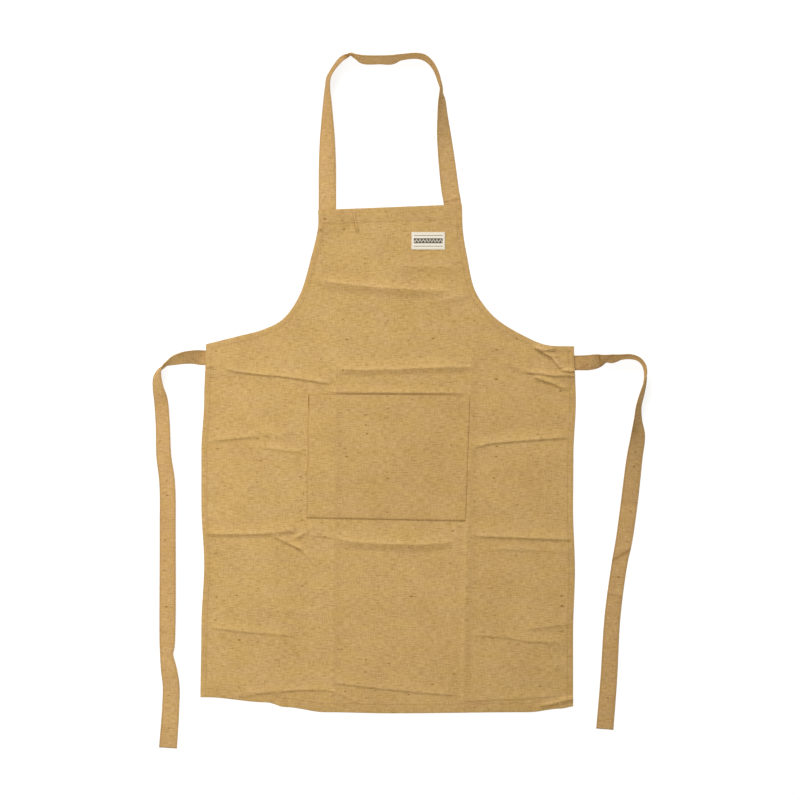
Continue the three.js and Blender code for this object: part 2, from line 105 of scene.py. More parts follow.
# Neck strap and ties. A strap has points at the stops in from its edges. It bows across its width
# where it stands within BOW_TURN degrees of upright.
STRAP_WIDTH = 0.031
TIE_WIDTH = 0.03
STRAP_THICKNESS = 0.0016
STRAP_INSET = 0.001
STRAP_SEAM = 0.0024
STRAP_STOPS = np.array([0, 0.0002, 0.0007, 0.0015, 0.0024, 0.0033, 0.006, 0.0105])
STRAP_BOW = 0.004
BOW_TURN = 22
NECK_LOOP_RISE = 0.27
LEFT_TIE_DROP = 0.019
LEFT_TIE_REACH = 0.085
LEFT_TIE_FALL = 0.689
RIGHT_TIE_DROP = 0.028
RIGHT_TIE_REACH = 0.125
RIGHT_TIE_FALL = 0.647

# Folds that the cloth keeps from its packing
FOLD_HEIGHT = 0.004
FOLD_SPREAD = 0.04
FOLD_FADE = 0.15
SOFT_FOLD = 0.55
SEAT_SLOPE = 0.008
TIE_SLOPE = 0.025
TIE_SLOPE_DOWN = 0.012
WAVE_HEIGHT = 0.0006
WAVE_LENGTHS = (0.05, 0.17)
WAVE_COUNT = 16
WAVE_SEED = 5

# Painted shade: shares by which cloth is darker where it is doubled, folded or sewn and along its edges,
# and a painted highlight above fold crests
HEM_SHADE = 0.03
SEAM_SHADE = 0.06
FOOT_EDGE_SHADE = 0.3
SIDE_EDGE_SHADE = 0.14
FAINT_EDGE_SHADE = 0.04
STRAP_EDGE_SHADE = 0.12
MOUTH_SHADE_GAIN = 3
MARK_WIDTH = 0.0016
EDGE_LINE = 0.0014
FOLD_LINE = 0.0019
FOLD_SHADE = 0.26
FOLD_SOFT_SHADE = 0.06
FOLD_HIGHLIGHT = 0.16
FOLD_HIGHLIGHT_WIDTH = 0.009

# Mesh spacing
HEM_POINT_STEP = 0.004
GROOVE_REACH = 1.5
BIB_STEP = 0.003
ROW_STEP = 0.0085
FOLDED_ROW_STEP = 0.0017
COLUMN_STEP = 0.0075
FOLDED_COLUMN_STEP = 0.003
POCKET_STEP = 0.0026
LABEL_STEP = 0.0015
STRAP_STEP = 0.0025
LABEL_SEAM_POINTS = 40
CURVE_SAMPLES = 50
GRADE_SAMPLES = 4000

# Thread
STITCH_PITCH = 0.0032
STITCH_LENGTH = 0.0024
STITCH_CORNERS = 5
STRAP_STITCH_SINK = 0.7
THREAD_RADIUS = 0.0003
STRAND_SCALE = 900
STRAND_DARK = 0.7

# Yarn: how far its spots reach across and along the cloth, and how much each kind changes its colour
WEAVE_PITCH = 0.0011
WEFT_SPOT = (0.012, 0.0016)
WARP_SPOT = (0.0016, 0.012)
BLOTCH_SPOT = (0.07, 0.05)
SLUB_SPOT = (0.016, 0.0019)
TINT_SPOT = (0.05, 0.02)
WEFT_MIX = 0.44
WARP_MIX = 0.28
BLOTCH_MIX = 0.12
SLUB_MIX = 0.12
SLUB_LEVEL = 0.68
NEP_CELL = (0.038, 0.019)
NEP_RADIUS = 0.08
NEP_SHADE = 0.12
NEP_SHADE_RANGE = 0.35
YARN_RELIEF = 1.5
BUMP_DISTANCE = 0.0002

# Colours. Yarns go from brown through their usual colour to straw.
BODY_YARNS = ((0.24, 0.12, 0.03), (0.585, 0.37, 0.139), (0.86, 0.62, 0.32))
STRAP_YARNS = ((0.25, 0.12, 0.04), (0.58, 0.36, 0.146), (0.86, 0.6, 0.32))
GOLDEN_TINT = (1.0, 1.0, 0.91)
ROSY_TINT = (0.995, 0.985, 1.0)
# How much painted shade and the neps take from each of red, green and blue
SHADE_TINT = (-0.92, -1.15, -1.45)
GOLDEN_THREAD = (0.56, 0.35, 0.13)
CREAM_THREAD = (0.7, 0.64, 0.52)
LABEL_CREAM = (0.85, 0.775, 0.635)
LABEL_BROWN = (0.05, 0.035, 0.025)

# Surroundings
VIEW_CENTRE = (0.0177, -0.0936)
VIEW_WIDTH = 1.413
LENS = 250
SENSOR = 36
CLIP_END = 50
FLOOR_SIZE = 12
FLOOR_DROP = 0.0002
FLOOR_COLOUR = (0.26, 0.26, 0.26, 1)
WHITE = (1, 1, 1, 1)
FLOOR_GLOW = 0.84
WORLD_STRENGTH = 0.345

# Values that follow
HALF_WAIST = WAIST_WIDTH / 2
HALF_BIB = BIB_TOP_WIDTH / 2
STRAP_SPREAD = HALF_BIB - STRAP_WIDTH / 2 - STRAP_INSET
STRAP_LIFT = STRAP_THICKNESS + CLEARANCE

# Distances in from an edge, and beside a seam, at which its rounding and its groove need points
ROUNDING_STOPS = EDGE_ROUNDING * np.array([0, 0.3, 1])
GROOVE_STOPS = SEAM_GROOVE * np.array([-0.6, 0, 0.6, 1.2])


def table(columns, rows):
    """A table with named columns, as one array for each."""
    return dict(zip(columns.split(), np.array(rows, float).T))


def records(columns, rows):
    """A list of rows with named columns."""
    record = namedtuple("Record", columns)
    return [record(*row) for row in rows]


# Armhole edges from the bib's corner to the waist corner.
# out is a share of the way from one corner out to the other, and up is a share of the bib's height.
LEFT_ARMHOLE = table("out up", [
    (0, 1), (0, 0.88), (0.06, 0.66), (0.17, 0.37), (0.32, 0.2), (0.5, 0.125), (0.71, 0.08), (1, 0.02),
])
RIGHT_ARMHOLE = table("out up", [
    (0, 1), (0.01, 0.81), (0.045, 0.64), (0.11, 0.41), (0.2, 0.29), (0.32, 0.19), (0.55, 0.08),
    (0.75, 0.015), (1, 0.005),
])
ARMHOLES = ((LEFT_ARMHOLE, -1), (RIGHT_ARMHOLE, 1))

# Side edges of the skirt, as shares of half the waist width, at shares of the skirt's length.
SKIRT_SIDES = table("down left right", [
    (0, 1, 1),
    (0.15, 1.01, 1.01),
    (0.3, 1.025, 0.997),
    (0.45, 1.025, 0.995),
    (0.62, 1.01, 1.005),
    (0.8, 1.025, 0.995),
    (1, 1.03, 0.995),
])

# Bottom edge: how far down it reaches, as a share of the skirt's length, at shares of half the waist.
BOTTOM_EDGE = table("across down", [
    (-1, 0.959), (-0.67, 0.973), (-0.57, 0.986), (-0.35, 1), (0, 1.003), (0.75, 1), (0.93, 0.99),
    (1, 0.984),
])

# Pocket corners, as shares of its width across and of its depth down from its mouth.
POCKET_CORNERS = table("across down", [(-0.505, 0), (0.495, 0.008), (-0.519, 0.98), (0.468, 1.005)])

# Parts of the skirt's length and of half the waist width that hold sharp folds and need closer points.
FOLDED_ROWS = [(0, 0.13), (0.235, 0.295), (0.495, 0.6), (0.765, 0.815), (0.915, 0.985)]
FOLDED_COLUMNS = [(-0.56, -0.27), (0.37, 0.47), (0.76, 0.96)]

# Creases: rise is a share of the fold height, and above and below are shares of the fold spread, where
# above is the side left of the path. From the share SOFT_FOLD on, a fold has neither painted shade nor
# painted highlight.
# Each point of the path of the crest is a share across half the waist width, then a share down the
# skirt's length or, where it is negative, up the bib's height.
CREASES = records("rise above below path", [
    # Bib
    (1, 0.45, 0.45, [(-0.43, -0.49), (-0.272, -0.455), (-0.082, -0.428), (0.14, -0.408), (0.35, -0.4)]),
    (0.5, 0.55, 0.4, [(0.027, -0.572), (0.19, -0.579), (0.37, -0.565)]),
    (0.5, 0.6, 0.35, [(0.19, -0.322), (0.326, -0.343), (0.435, -0.379)]),
    (0.95, 0.12, 0.1, [(-0.199, -0.99), (-0.191, -0.9), (-0.174, -0.81)]),
    # Waist
    (0.9, 0.5, 0.32, [
        (-0.325, 0.07), (-0.283, 0.059), (-0.163, 0.063), (0.054, 0.06), (0.272, 0.055), (0.489, 0.055),
    ]),
    (0.7, 0.45, 0.1, [
        (-0.92, 0.057), (-0.815, 0.068), (-0.723, 0.074), (-0.603, 0.079), (-0.456, 0.089),
        (-0.34, 0.099), (-0.29, 0.097),
    ]),
    (0.45, 0.35, 0.08, [(-0.38, 0.122), (-0.245, 0.124), (0.054, 0.125), (0.326, 0.126), (0.46, 0.126)]),
    (0.5, 0.2, 0.1, [(-1, 0.057), (-0.975, 0.053), (-0.94, 0.046)]),
    (0.85, 0.3, 0.12, [(0.775, -0.001), (0.83, 0.008), (0.9, 0.0095)]),
    (1.35, 0.26, 0.13, [
        (0.78, 0), (0.83, 0.014), (0.88, 0.028), (0.917, 0.052), (0.94, 0.064), (1.03, 0.068),
    ]),
    (0.4, 0.3, 0.3, [(0.6, 0.038), (0.68, 0.054), (0.76, 0.066)]),
    (0.8, 0.25, 0.12, [(0.72, 0.068), (0.815, 0.072), (0.887, 0.078), (0.945, 0.077), (1.03, 0.08)]),
    (0.9, 0.25, 0.13, [(0.775, 0.08), (0.84, 0.092), (0.895, 0.101), (0.97, 0.12)]),
    # Beside the pocket
    (0.2, 0.15, 0.08, [(-0.6, 0.163), (-0.44, 0.171)]),
    (0.6, 0.45, 0.1, [(-1, 0.261), (-0.894, 0.253), (-0.755, 0.246), (-0.647, 0.24), (-0.5, 0.238)]),
    (0.4, 0.25, 0.15, [(-0.72, 0.272), (-0.598, 0.281), (-0.456, 0.289)]),
    (0.65, 0.4, 0.13, [
        (0.42, 0.29), (0.46, 0.275), (0.53, 0.264), (0.63, 0.259), (0.84, 0.251), (0.99, 0.246),
    ]),
    # Across the middle of the skirt
    (0.8, 0.5, 0.2, [(-1.03, 0.511), (-0.815, 0.512), (-0.625, 0.509), (-0.47, 0.496)]),
    (0.75, 0.22, 0.14, [(-0.63, 0.518), (-0.57, 0.532), (-0.47, 0.556)]),
    (0.35, 0.2, 0.14, [(-0.52, 0.543), (-0.46, 0.565), (-0.39, 0.605)]),
    (0.6, 0.2, 0.14, [(-0.53, 0.53), (-0.39, 0.486)]),
    (0.35, 0.25, 0.1, [(-0.43, 0.515), (-0.3, 0.522)]),
    (0.9, 0.6, 0.4, [(-0.315, 0.52), (-0.206, 0.533), (-0.054, 0.538), (0.163, 0.541), (0.38, 0.532)]),
    (0.65, 0.45, 0.15, [(0.43, 0.516), (0.652, 0.52), (1.02, 0.528)]),
    (0.22, 0.3, 0.15, [(0.5, 0.552), (0.706, 0.554), (0.98, 0.56)]),
    # Lower skirt
    (0.2, 0.3, 0.2, [(-1, 0.598), (-0.77, 0.602)]),
    (0.25, 0.35, 0.15, [(-1, 0.728), (-0.761, 0.726), (-0.46, 0.723)]),
    (0.35, 0.4, 0.1, [(-1, 0.766), (-0.815, 0.778), (-0.51, 0.791)]),
    (0.35, 0.4, 0.1, [(0.43, 0.788), (0.625, 0.794), (0.734, 0.805), (1, 0.811)]),
    (0.3, 0.3, 0.15, [(0.72, 0.774), (1, 0.756)]),
    # Near the bottom hem
    (0.5, 0.4, 0.11, [(-0.88, 0.96), (-0.679, 0.946), (-0.489, 0.938), (-0.3, 0.939)]),
    (0.42, 0.4, 0.1, [(-0.36, 0.916), (-0.109, 0.931), (0.163, 0.945), (0.4, 0.955)]),
    (0.25, 0.2, 0.1, [(-0.34, 0.938), (-0.14, 0.98)]),
    (0.25, 0.35, 0.1, [(0.36, 0.969), (0.706, 0.962), (0.95, 0.953)]),
    (0.8, 0.25, 0.12, [(0.8, 0.986), (0.9, 0.975), (1.06, 0.956)]),
    # Upright press lines down from just above the waist, and the wide fold behind each
    (0.16, 0.15, 0.5, [(-0.316, 1.1), (-0.31, 0.583), (-0.304, 0.364), (-0.291, -0.14)]),
    (0.2, 0.15, 0.5, [(0.39, 1.1), (0.418, 0.474), (0.435, 0.145), (0.45, -0.36)]),
    (0.3, 0.35, 1.6, [(-0.291, -0.14), (-0.304, 0.364), (-0.31, 0.583), (-0.316, 1.04)]),
    (0.35, 0.4, 1.6, [(0.45, -0.36), (0.435, 0.145), (0.418, 0.474), (0.394, 1.04)]),
])

# Neck strap from its left seam round to its right seam. out is a share of the spread of its seams and
# up a share of the loop's rise above the bib. turn is how far its inner edge is raised, in degrees.
NECK_STATIONS = table("out up turn", [
    (-1, 0, 0), (-1, 0.19, 3), (-1, 0.4, 24), (-1, 0.56, 45), (-1, 0.71, 63), (-1, 0.8, 74),
    (-0.985, 0.86, 76), (-0.93, 0.905, 77), (-0.86, 0.943, 75), (-0.77, 0.981, 73), (-0.69, 0.999, 76),
    (-0.62, 1.008, 90), (-0.54, 0.993, 102), (-0.44, 0.971, 115), (-0.15, 0.963, 116), (0.03, 0.961, 118),
    (0.17, 0.975, 107), (0.43, 0.981, 105), (0.55, 0.967, 106), (0.656, 0.933, 103), (0.737, 0.882, 100),
    (0.79, 0.82, 98), (0.82, 0.76, 88), (0.828, 0.69, 68), (0.84, 0.58, 54), (0.865, 0.445, 36),
    (0.91, 0.275, 18), (0.96, 0.1, 3), (1, 0, 0),
])

# Ties from their seams to their free ends. out is a share of the tie's reach beyond the side edge and
# down a share of its fall. turn is how far its outer edge is raised, in degrees, past upright to a half
# twist. width is a share of the tie's width, which its seam gathers in a little.
LEFT_TIE_STATIONS = table("out down turn width", [
    (0, 0, 0, 0.87), (0.06, 0, 0, 0.87), (0.25, -0.0015, 28, 0.9), (0.47, 0.001, 44, 0.95),
    (0.67, 0.008, 60, 1), (0.79, 0.016, 77, 1), (0.88, 0.024, 90, 1), (0.96, 0.035, 106, 1),
    (1, 0.052, 121, 1), (0.985, 0.077, 131, 1), (0.93, 0.108, 145, 1), (0.89, 0.172, 148, 1),
    (0.87, 0.25, 153, 1), (0.8, 0.32, 160, 1), (0.79, 0.45, 163, 1), (0.8, 0.735, 160, 0.97),
    (0.812, 0.76, 162, 0.83), (0.77, 0.795, 167, 0.97), (0.72, 0.84, 176, 1), (0.73, 0.9, 180, 1.02),
    (0.785, 1, 180, 1.06),
])
RIGHT_TIE_STATIONS = table("out down turn width", [
    (0, 0, 0, 0.87), (0.05, 0, 0, 0.87), (0.22, -0.001, 15, 0.92), (0.35, -0.006, 42, 1),
    (0.44, -0.011, 64, 1), (0.535, -0.011, 61, 1), (0.66, -0.015, 73, 1), (0.79, -0.016, 75, 1),
    (0.9, -0.009, 79, 1), (0.97, 0.006, 83, 1), (1, 0.029, 90, 1), (0.985, 0.056, 100, 1),
    (0.948, 0.086, 107, 1), (0.905, 0.119, 110, 1), (0.894, 0.157, 121, 1), (0.895, 0.2, 149, 1),
    (0.85, 0.258, 162, 1), (0.77, 0.39, 180, 1), (0.695, 0.492, 180, 0.98), (0.645, 0.54, 180, 0.93),
    (0.54, 0.69, 180, 0.94), (0.485, 0.865, 180, 0.99), (0.43, 1, 180, 1.02),
])

# Painted shade at creases of the straps, and painted shade and painted light over broad parts of them:
# place is a share along the strap, slant how far a mark runs along it for its way across, depth how much
# darker it is, negative for painted light, and width a share of the mark width.
NECK_MARKS = records("place slant depth width", [
    (0.05, 0.8, 0.1, 1), (0.07, 0, -0.09, 45), (0.38, 0, 0.14, 10), (0.404, 0.3, 0.2, 0.8),
    (0.418, 0, 0.55, 5), (0.5, 0, -0.09, 28), (0.87, 0, -0.09, 60), (0.957, 0.05, 0.28, 1),
])
LEFT_TIE_MARKS = records("place slant depth width", [
    (0.04, 0, 0.12, 7), (0.065, 0.1, 0.12, 0.8), (0.105, 0, -0.2, 9), (0.21, 0, 0.1, 6),
    (0.23, 0.6, 0.08, 1), (0.55, 0, 0.05, 80), (0.737, 0.2, 0.09, 2.5), (0.88, 0, -0.05, 50),
])
RIGHT_TIE_MARKS = records("place slant depth width", [
    (0.05, 0, 0.14, 9), (0.088, 0, 0.3, 1), (0.105, 0.6, 0.14, 2), (0.281, 0.1, 0.16, 1),
    (0.34, -0.1, 0.1, 1), (0.497, 0, 0.1, 2.5), (0.537, 0, 0.08, 0.8), (0.597, 0.6, -0.07, 4),
    (0.614, 0.9, 0.28, 2.6), (0.694, -0.1, -0.06, 3), (0.704, -0.1, 0.18, 0.9),
])

# One stitch in sections along it: along is a share of its length, and size and rise shares of the
# thread's radius. It dips into the cloth at both ends.
STITCH_SECTIONS = table("along size rise", [
    (-0.5, 0.35, -0.5), (-0.3, 1, 0.25), (0.3, 1, 0.25), (0.5, 0.35, -0.5),
])


# Numbers and curves

def smooth(share):
    t = np.clip(share, 0, 1)
    return t * t * (3 - 2 * t)


def from_table(rows, key, places, column):
    """Values of one column at places along its key column, eased from row to row."""
    keys = rows[key]
    values = rows[column]
    after = np.clip(np.searchsorted(keys, places), 1, len(keys) - 1)
    before = after - 1
    share = smooth((places - keys[before]) / (keys[after] - keys[before]))
    return values[before] + share * (values[after] - values[before])


def even(start, end, step):
    """Evenly spaced stops from start to end, about a step apart."""
    return np.linspace(start, end, max(2, round((end - start) / step) + 1))


def graded(start, end, coarse, fine, fine_parts):
    """Stops from start to end, at the fine step within the fine parts and the coarse step elsewhere."""
    places = np.linspace(start, end, GRADE_SAMPLES)
    step = np.full(places.shape, coarse)
    for low, high in fine_parts:
        step[(places >= low) & (places <= high)] = fine
    count = np.concatenate([[0], np.cumsum(np.diff(places) / step[1:])])
    return np.interp(np.linspace(0, count[-1], round(count[-1]) + 1), count, places)


def rows_of(*columns):
    """A row for each place in arrays of one shape, with a column for each array."""
    return np.stack(columns, axis=-1).reshape(-1, len(columns))


def distances_along(points):
    """How far along a line of points each of them lies."""
    return np.concatenate([[0], np.cumsum(np.linalg.norm(np.diff(points, axis=0), axis=1))])


def spline(points, places):
    """Points at places along a centripetal curve, where a place counts the spans from the start.

    The first two columns of the points are x and y, which space the curve's knots.
    """
    padded = np.vstack([2 * points[0] - points[1], points, 2 * points[-1] - points[-2]])
    span = np.clip(places.astype(int), 0, len(points) - 2)
    share = (places - span)[:, None]
    p0, p1, p2, p3 = (padded[span + k] for k in range(4))
    gap01, gap12, gap23 = (
        np.sqrt(np.linalg.norm((b - a)[:, :2], axis=1))[:, None] for a, b in ((p0, p1), (p1, p2), (p2, p3))
    )
    leave = ((p1 - p0) / gap01 - (p2 - p0) / (gap01 + gap12) + (p2 - p1) / gap12) * gap12
    arrive = ((p2 - p1) / gap12 - (p3 - p1) / (gap12 + gap23) + (p3 - p2) / gap23) * gap12
    square = share * share
    cube = square * share
    return (
        (2 * cube - 3 * square + 1) * p1
        + (cube - 2 * square + share) * leave
        + (3 * square - 2 * cube) * p2
        + (cube - square) * arrive
    )


def arc_places(points, shares):
    """Places on the curve through points at shares of its length, and that length."""
    dense = np.linspace(0, len(points) - 1, CURVE_SAMPLES * len(points))
    run = distances_along(spline(points, dense)[:, :2])
    return np.interp(shares * run[-1], run, dense), run[-1]


def tangents(points):
    along = np.gradient(points, axis=0)
    return along / np.linalg.norm(along, axis=-1, keepdims=True)


# Heights of the cloth

def body_place(across, down):
    """Point of the body at a share across half the waist and a share down the skirt or up the bib."""
    return np.array([across * HALF_WAIST, -down * (BIB_HEIGHT if down < 0 else SKIRT_LENGTH)])


def bib_top(x):
    return BIB_HEIGHT + BIB_SKEW * x / HALF_BIB


def skirt_side(side, depth):
    share = from_table(SKIRT_SIDES, "down", depth / SKIRT_LENGTH, "left" if side < 0 else "right")
    return side * share * HALF_WAIST


def fold(x, y, path, above, below):
    """A fold along a path: the share of its height that points have, and its painted shade on the cloth.

    It slopes down on both sides of its crest and fades out at its ends. Above the crest it has a
    painted highlight, where the darkness is negative, and below it painted shade.
    """
    lines = np.diff(path, axis=0)
    lengths = np.linalg.norm(lines, axis=1)
    before = np.concatenate([[0], np.cumsum(lengths)])
    nearest = np.full_like(x, np.inf)
    upper = np.zeros_like(x, bool)
    travelled = np.zeros_like(x)
    for start, line, length, run in zip(path, lines / lengths[:, None], lengths, before):
        along = np.clip((x - start[0]) * line[0] + (y - start[1]) * line[1], 0, length)
        off_x = x - start[0] - along * line[0]
        off_y = y - start[1] - along * line[1]
        distance = np.hypot(off_x, off_y)
        closer = distance < nearest
        nearest = np.where(closer, distance, nearest)
        travelled = np.where(closer, run + along, travelled)
        upper = np.where(closer, line[0] * off_y > line[1] * off_x, upper)
    ends = smooth(np.minimum(travelled, before[-1] - travelled) / (FOLD_FADE * before[-1]))
    height = ends * smooth(1 - nearest / np.where(upper, above, below))
    # Painted shade: a dark line just below the crest, and a soft band below that
    line = smooth(nearest / FOLD_LINE) * smooth(2 - nearest / FOLD_LINE)
    softness = np.clip(below / (SOFT_FOLD * FOLD_SPREAD), 0, 1)
    shaded = FOLD_SHADE * (1 - softness) * line + FOLD_SOFT_SHADE * smooth(1 - nearest / below)
    # Painted highlight just above the crest
    highlight = FOLD_HIGHLIGHT * smooth(1 - nearest / FOLD_HIGHLIGHT_WIDTH)
    return height, ends * np.where(upper, -highlight, shaded)


def folds(x, y):
    """Height of all the folds together, and how dark their painted shade makes the cloth, negative for
    painted highlight.
    """
    height = np.zeros_like(x)
    shade = np.zeros_like(x)
    for crease in CREASES:
        path = np.array([body_place(*place) for place in crease.path])
        share, dark = fold(x, y, path, crease.above * FOLD_SPREAD, crease.below * FOLD_SPREAD)
        height += crease.rise * FOLD_HEIGHT * share
        if crease.below <= SOFT_FOLD:
            shade += crease.rise * dark
    return height, np.clip(shade, -FOLD_HIGHLIGHT, FOLD_SHADE)


def strap_seats():
    """Strap ends that lie under the body: their middles at its edge, half sizes, and slopes beside them."""
    necks = [
        (x, bib_top(x), STRAP_WIDTH / 2, SEAM_TUCK, SEAT_SLOPE, SEAT_SLOPE)
        for x in (-STRAP_SPREAD, STRAP_SPREAD)
    ]
    ties = [
        (skirt_side(side, drop), -drop, SEAM_TUCK, TIE_WIDTH / 2, TIE_SLOPE, TIE_SLOPE_DOWN)
        for side, drop in ((-1, LEFT_TIE_DROP), (1, RIGHT_TIE_DROP))
    ]
    return necks + ties


def waves(x, y):
    """Long, low waves of the laid cloth, from 0 to 1."""
    random = np.random.default_rng(WAVE_SEED)
    total = np.zeros_like(x)
    for _ in range(WAVE_COUNT):
        angle = random.uniform(0, math.pi)
        phase = random.uniform(0, 2 * math.pi)
        number = 2 * math.pi / random.uniform(*WAVE_LENGTHS)
        total += np.sin(number * (x * math.cos(angle) + y * math.sin(angle)) + phase)
    return np.clip(0.5 + total / WAVE_COUNT, 0, 1)


def lift(x, y):
    """Height of the body's underside above the surface that it lies on."""
    height, _ = folds(x, y)
    seat = np.zeros_like(x)
    for middle_x, middle_y, half_x, half_y, slope_x, slope_y in strap_seats():
        out_x = (np.abs(x - middle_x) - half_x) / slope_x
        out_y = (np.abs(y - middle_y) - half_y) / slope_y
        seat = np.maximum(seat, STRAP_LIFT * smooth(2 - out_x) * smooth(2 - out_y))
    return WAVE_HEIGHT * waves(x, y) + height + seat


def on_body(x, y):
    """Height of the underside of a piece that lies on the body."""
    return lift(x, y) + CLOTH + HEM_RISE + CLEARANCE


def seam_line(distance, seam):
    """How near a point is to a seam, from 0 to 1, where both are given as distances from an edge."""
    return np.exp(-((distance - seam) / SEAM_GROOVE) ** 2)


def edge_shape(distance):
    """Share of its full thickness that a folded edge has at a distance in from the fold."""
    inside = 1 - np.clip(distance / EDGE_ROUNDING, 0, 1)
    return EDGE_END + (1 - EDGE_END) * np.sqrt(1 - inside * inside)


def edge_line(distance):
    """How strongly the painted shade line along an edge shows at a distance from it, from 0 to 1."""
    return smooth(1.5 - distance / EDGE_LINE)


def hem_share(distance, width):
    """1 within a hem of this width from an edge, and 0 beyond it."""
    return smooth((width - distance) / HEM_STEP + 0.5)


def stops_between(start, width, end, step):
    """Stops over a width, with those of its start and end given as distances in from them."""
    inner = even(start[-1], width - end[-1], step)[1:-1]
    return np.concatenate([start, inner, width - end[::-1]])


def hem_stops(width):
    """Distances from an edge at which its rounding, its hem's seam and the hem's inner edge need points."""
    seam = width - SEAM_INSET
    inner = even(EDGE_ROUNDING, seam - GROOVE_REACH * SEAM_GROOVE, HEM_POINT_STEP)[1:]
    hem_edge = [width - HEM_STEP / 2, width + HEM_STEP / 2]
    return np.concatenate([ROUNDING_STOPS, inner, seam + GROOVE_STOPS[:3], hem_edge])


# Meshes

def placed(name, data):
    """An object in the scene that holds the data."""
    made = bpy.data.objects.new(name, data)
    bpy.context.scene.collection.objects.link(made)
    return made


def cloth_mesh(name, vertices, faces, flat, shade=None):
    """An object whose UV map holds the cloth's own flat measures, in metres."""
    mesh = bpy.data.meshes.new(name)
    mesh.from_pydata(vertices.tolist(), [], faces)
    corners = np.zeros(len(mesh.loops), int)
    mesh.loops.foreach_get("vertex_index", corners)
    measures = flat[corners].astype(np.float32)
    mesh.uv_layers.new(name="cloth").uv.foreach_set("vector", measures.ravel())
    if shade is not None:
        layer = mesh.attributes.new("shade", "FLOAT", "POINT")
        layer.data.foreach_set("value", shade.astype(np.float32))
    mesh.shade_smooth()
    mesh.validate()
    return placed(name, mesh)


def ring_quads(first, second):
    """Faces between two rings of points, or between many such pairs."""
    return rows_of(first, np.roll(first, -1, -1), np.roll(second, -1, -1), second)


def tube_faces(rings, around):
    """Faces of a closed tube whose rings of points follow one another."""
    points = np.arange(rings * around).reshape(rings, around)
    quads = ring_quads(points[:-1], points[1:])
    return quads.tolist() + [points[0, ::-1].tolist(), points[-1].tolist()]


def sheet(name, x, y, low, high, shade, flat=None):
    """A closed sheet of cloth, whose rows run down from the top and columns to the right.

    flat has the cloth's own measures at the points, where those aren't x and y.
    """
    rows, columns = x.shape
    upper = np.arange(x.size).reshape(rows, columns)
    quads = rows_of(upper[:-1, :-1], upper[1:, :-1], upper[1:, 1:], upper[:-1, 1:])
    backs = quads[:, ::-1] + x.size
    rim = np.concatenate([upper[:-1, 0], upper[-1, :-1], upper[:0:-1, -1], upper[0, :0:-1]])
    walls = ring_quads(rim, rim + x.size)[:, ::-1]
    vertices = np.concatenate([rows_of(x, y, high), rows_of(x, y, low)])
    faces = np.concatenate([quads, backs, walls]).tolist()
    measures = np.tile(rows_of(*(flat or (x, y))), (2, 1))
    return cloth_mesh(name, vertices, faces, measures, np.tile(shade.ravel(), 2))


def cloth_sides(base, distance, thickness):
    """Heights of a sheet's underside and upper side over a base, with its edges rounded."""
    middle = base + thickness / 2
    half = thickness / 2 * edge_shape(distance)
    return middle - half, middle + half


# Body

def armhole(rows, side, shares):
    height = bib_top(side * HALF_BIB)
    x = side * (HALF_BIB + rows["out"] * (HALF_WAIST - HALF_BIB))
    points = rows_of(x, rows["up"] * height)
    places, length = arc_places(points, shares)
    return spline(points, places), length


def blended(ways, corner_way, distance):
    """The ways, turned to that of a corner near it."""
    share = np.clip(distance / CORNER_REACH, 0, 1)[:, None]
    return corner_way + share * (ways - corner_way)


def inward_ways(side, armhole_edge, side_edge, from_top, from_corner):
    """Ways from the edge points into the cloth, along the top edge and the waist corner's mitre there."""
    turn = np.array([[0, -side], [side, 0]])
    above = tangents(armhole_edge) @ turn
    below = tangents(side_edge) @ turn
    mitre = (above[-1] + below[0]) / (1 + above[-1] @ below[0])
    top_way = -side * np.array([1, BIB_SKEW / HALF_BIB])
    above = blended(blended(above, top_way, from_top), mitre, from_top[-1] - from_top)
    return np.concatenate([above, blended(below, mitre, from_corner)])


def body_stops():
    """Distances down the armhole edges and down the skirt at which the body has rows of points."""
    lengths = [armhole(rows, side, np.zeros(1))[1] for rows, side in ARMHOLES]
    hem = hem_stops(TOP_HEM)
    bib = np.concatenate([hem, even(hem[-1], sum(lengths) / 2, BIB_STEP)[1:]])
    hem = SKIRT_LENGTH - hem_stops(BOTTOM_HEM)[::-1]
    folded = np.array(FOLDED_ROWS) * SKIRT_LENGTH
    skirt = np.concatenate([graded(0, hem[0], ROW_STEP, FOLDED_ROW_STEP, folded)[1:-1], hem])
    return bib, skirt


def row_middles(bib, skirt):
    """How far up the middles of the rows lie. Within the top hem the rows keep level with their ends."""
    below_hem = np.maximum(bib - TOP_HEM, 0) / (bib[-1] - TOP_HEM)
    return np.concatenate([
        BIB_HEIGHT - np.minimum(bib, TOP_HEM) - below_hem * (BIB_HEIGHT - TOP_HEM + WAIST_SAG),
        -WAIST_SAG - skirt * (1 - WAIST_SAG / SKIRT_LENGTH),
    ])


def side_points(rows, side, bib, skirt):
    """Points of each row at the stops of the hem along one side."""
    above, _ = armhole(rows, side, bib / bib[-1])
    below = rows_of(skirt_side(side, skirt), -skirt)
    ways = inward_ways(side, above, below, bib, skirt)
    edge = np.concatenate([above, below])
    return edge[:, None] + ways[:, None] * hem_stops(SIDE_HEM)[None, :, None]


def inner_points(left, right, middles):
    """Points of each row between the hems of its sides, on a bow through its middle."""
    folded = np.array(FOLDED_COLUMNS) * HALF_WAIST
    stops = graded(-HALF_WAIST, HALF_WAIST, COLUMN_STEP, FOLDED_COLUMN_STEP, folded)[1:-1]
    share = stops / WAIST_WIDTH + 0.5
    start = left[:, -1:]
    end = right[:, -1:]
    inner = start + share[None, :, None] * (end - start)
    dip = middles - (start[:, 0, 1] + end[:, 0, 1]) / 2
    inner[..., 1] += dip[:, None] * (1 - (2 * share - 1) ** 2)
    return inner


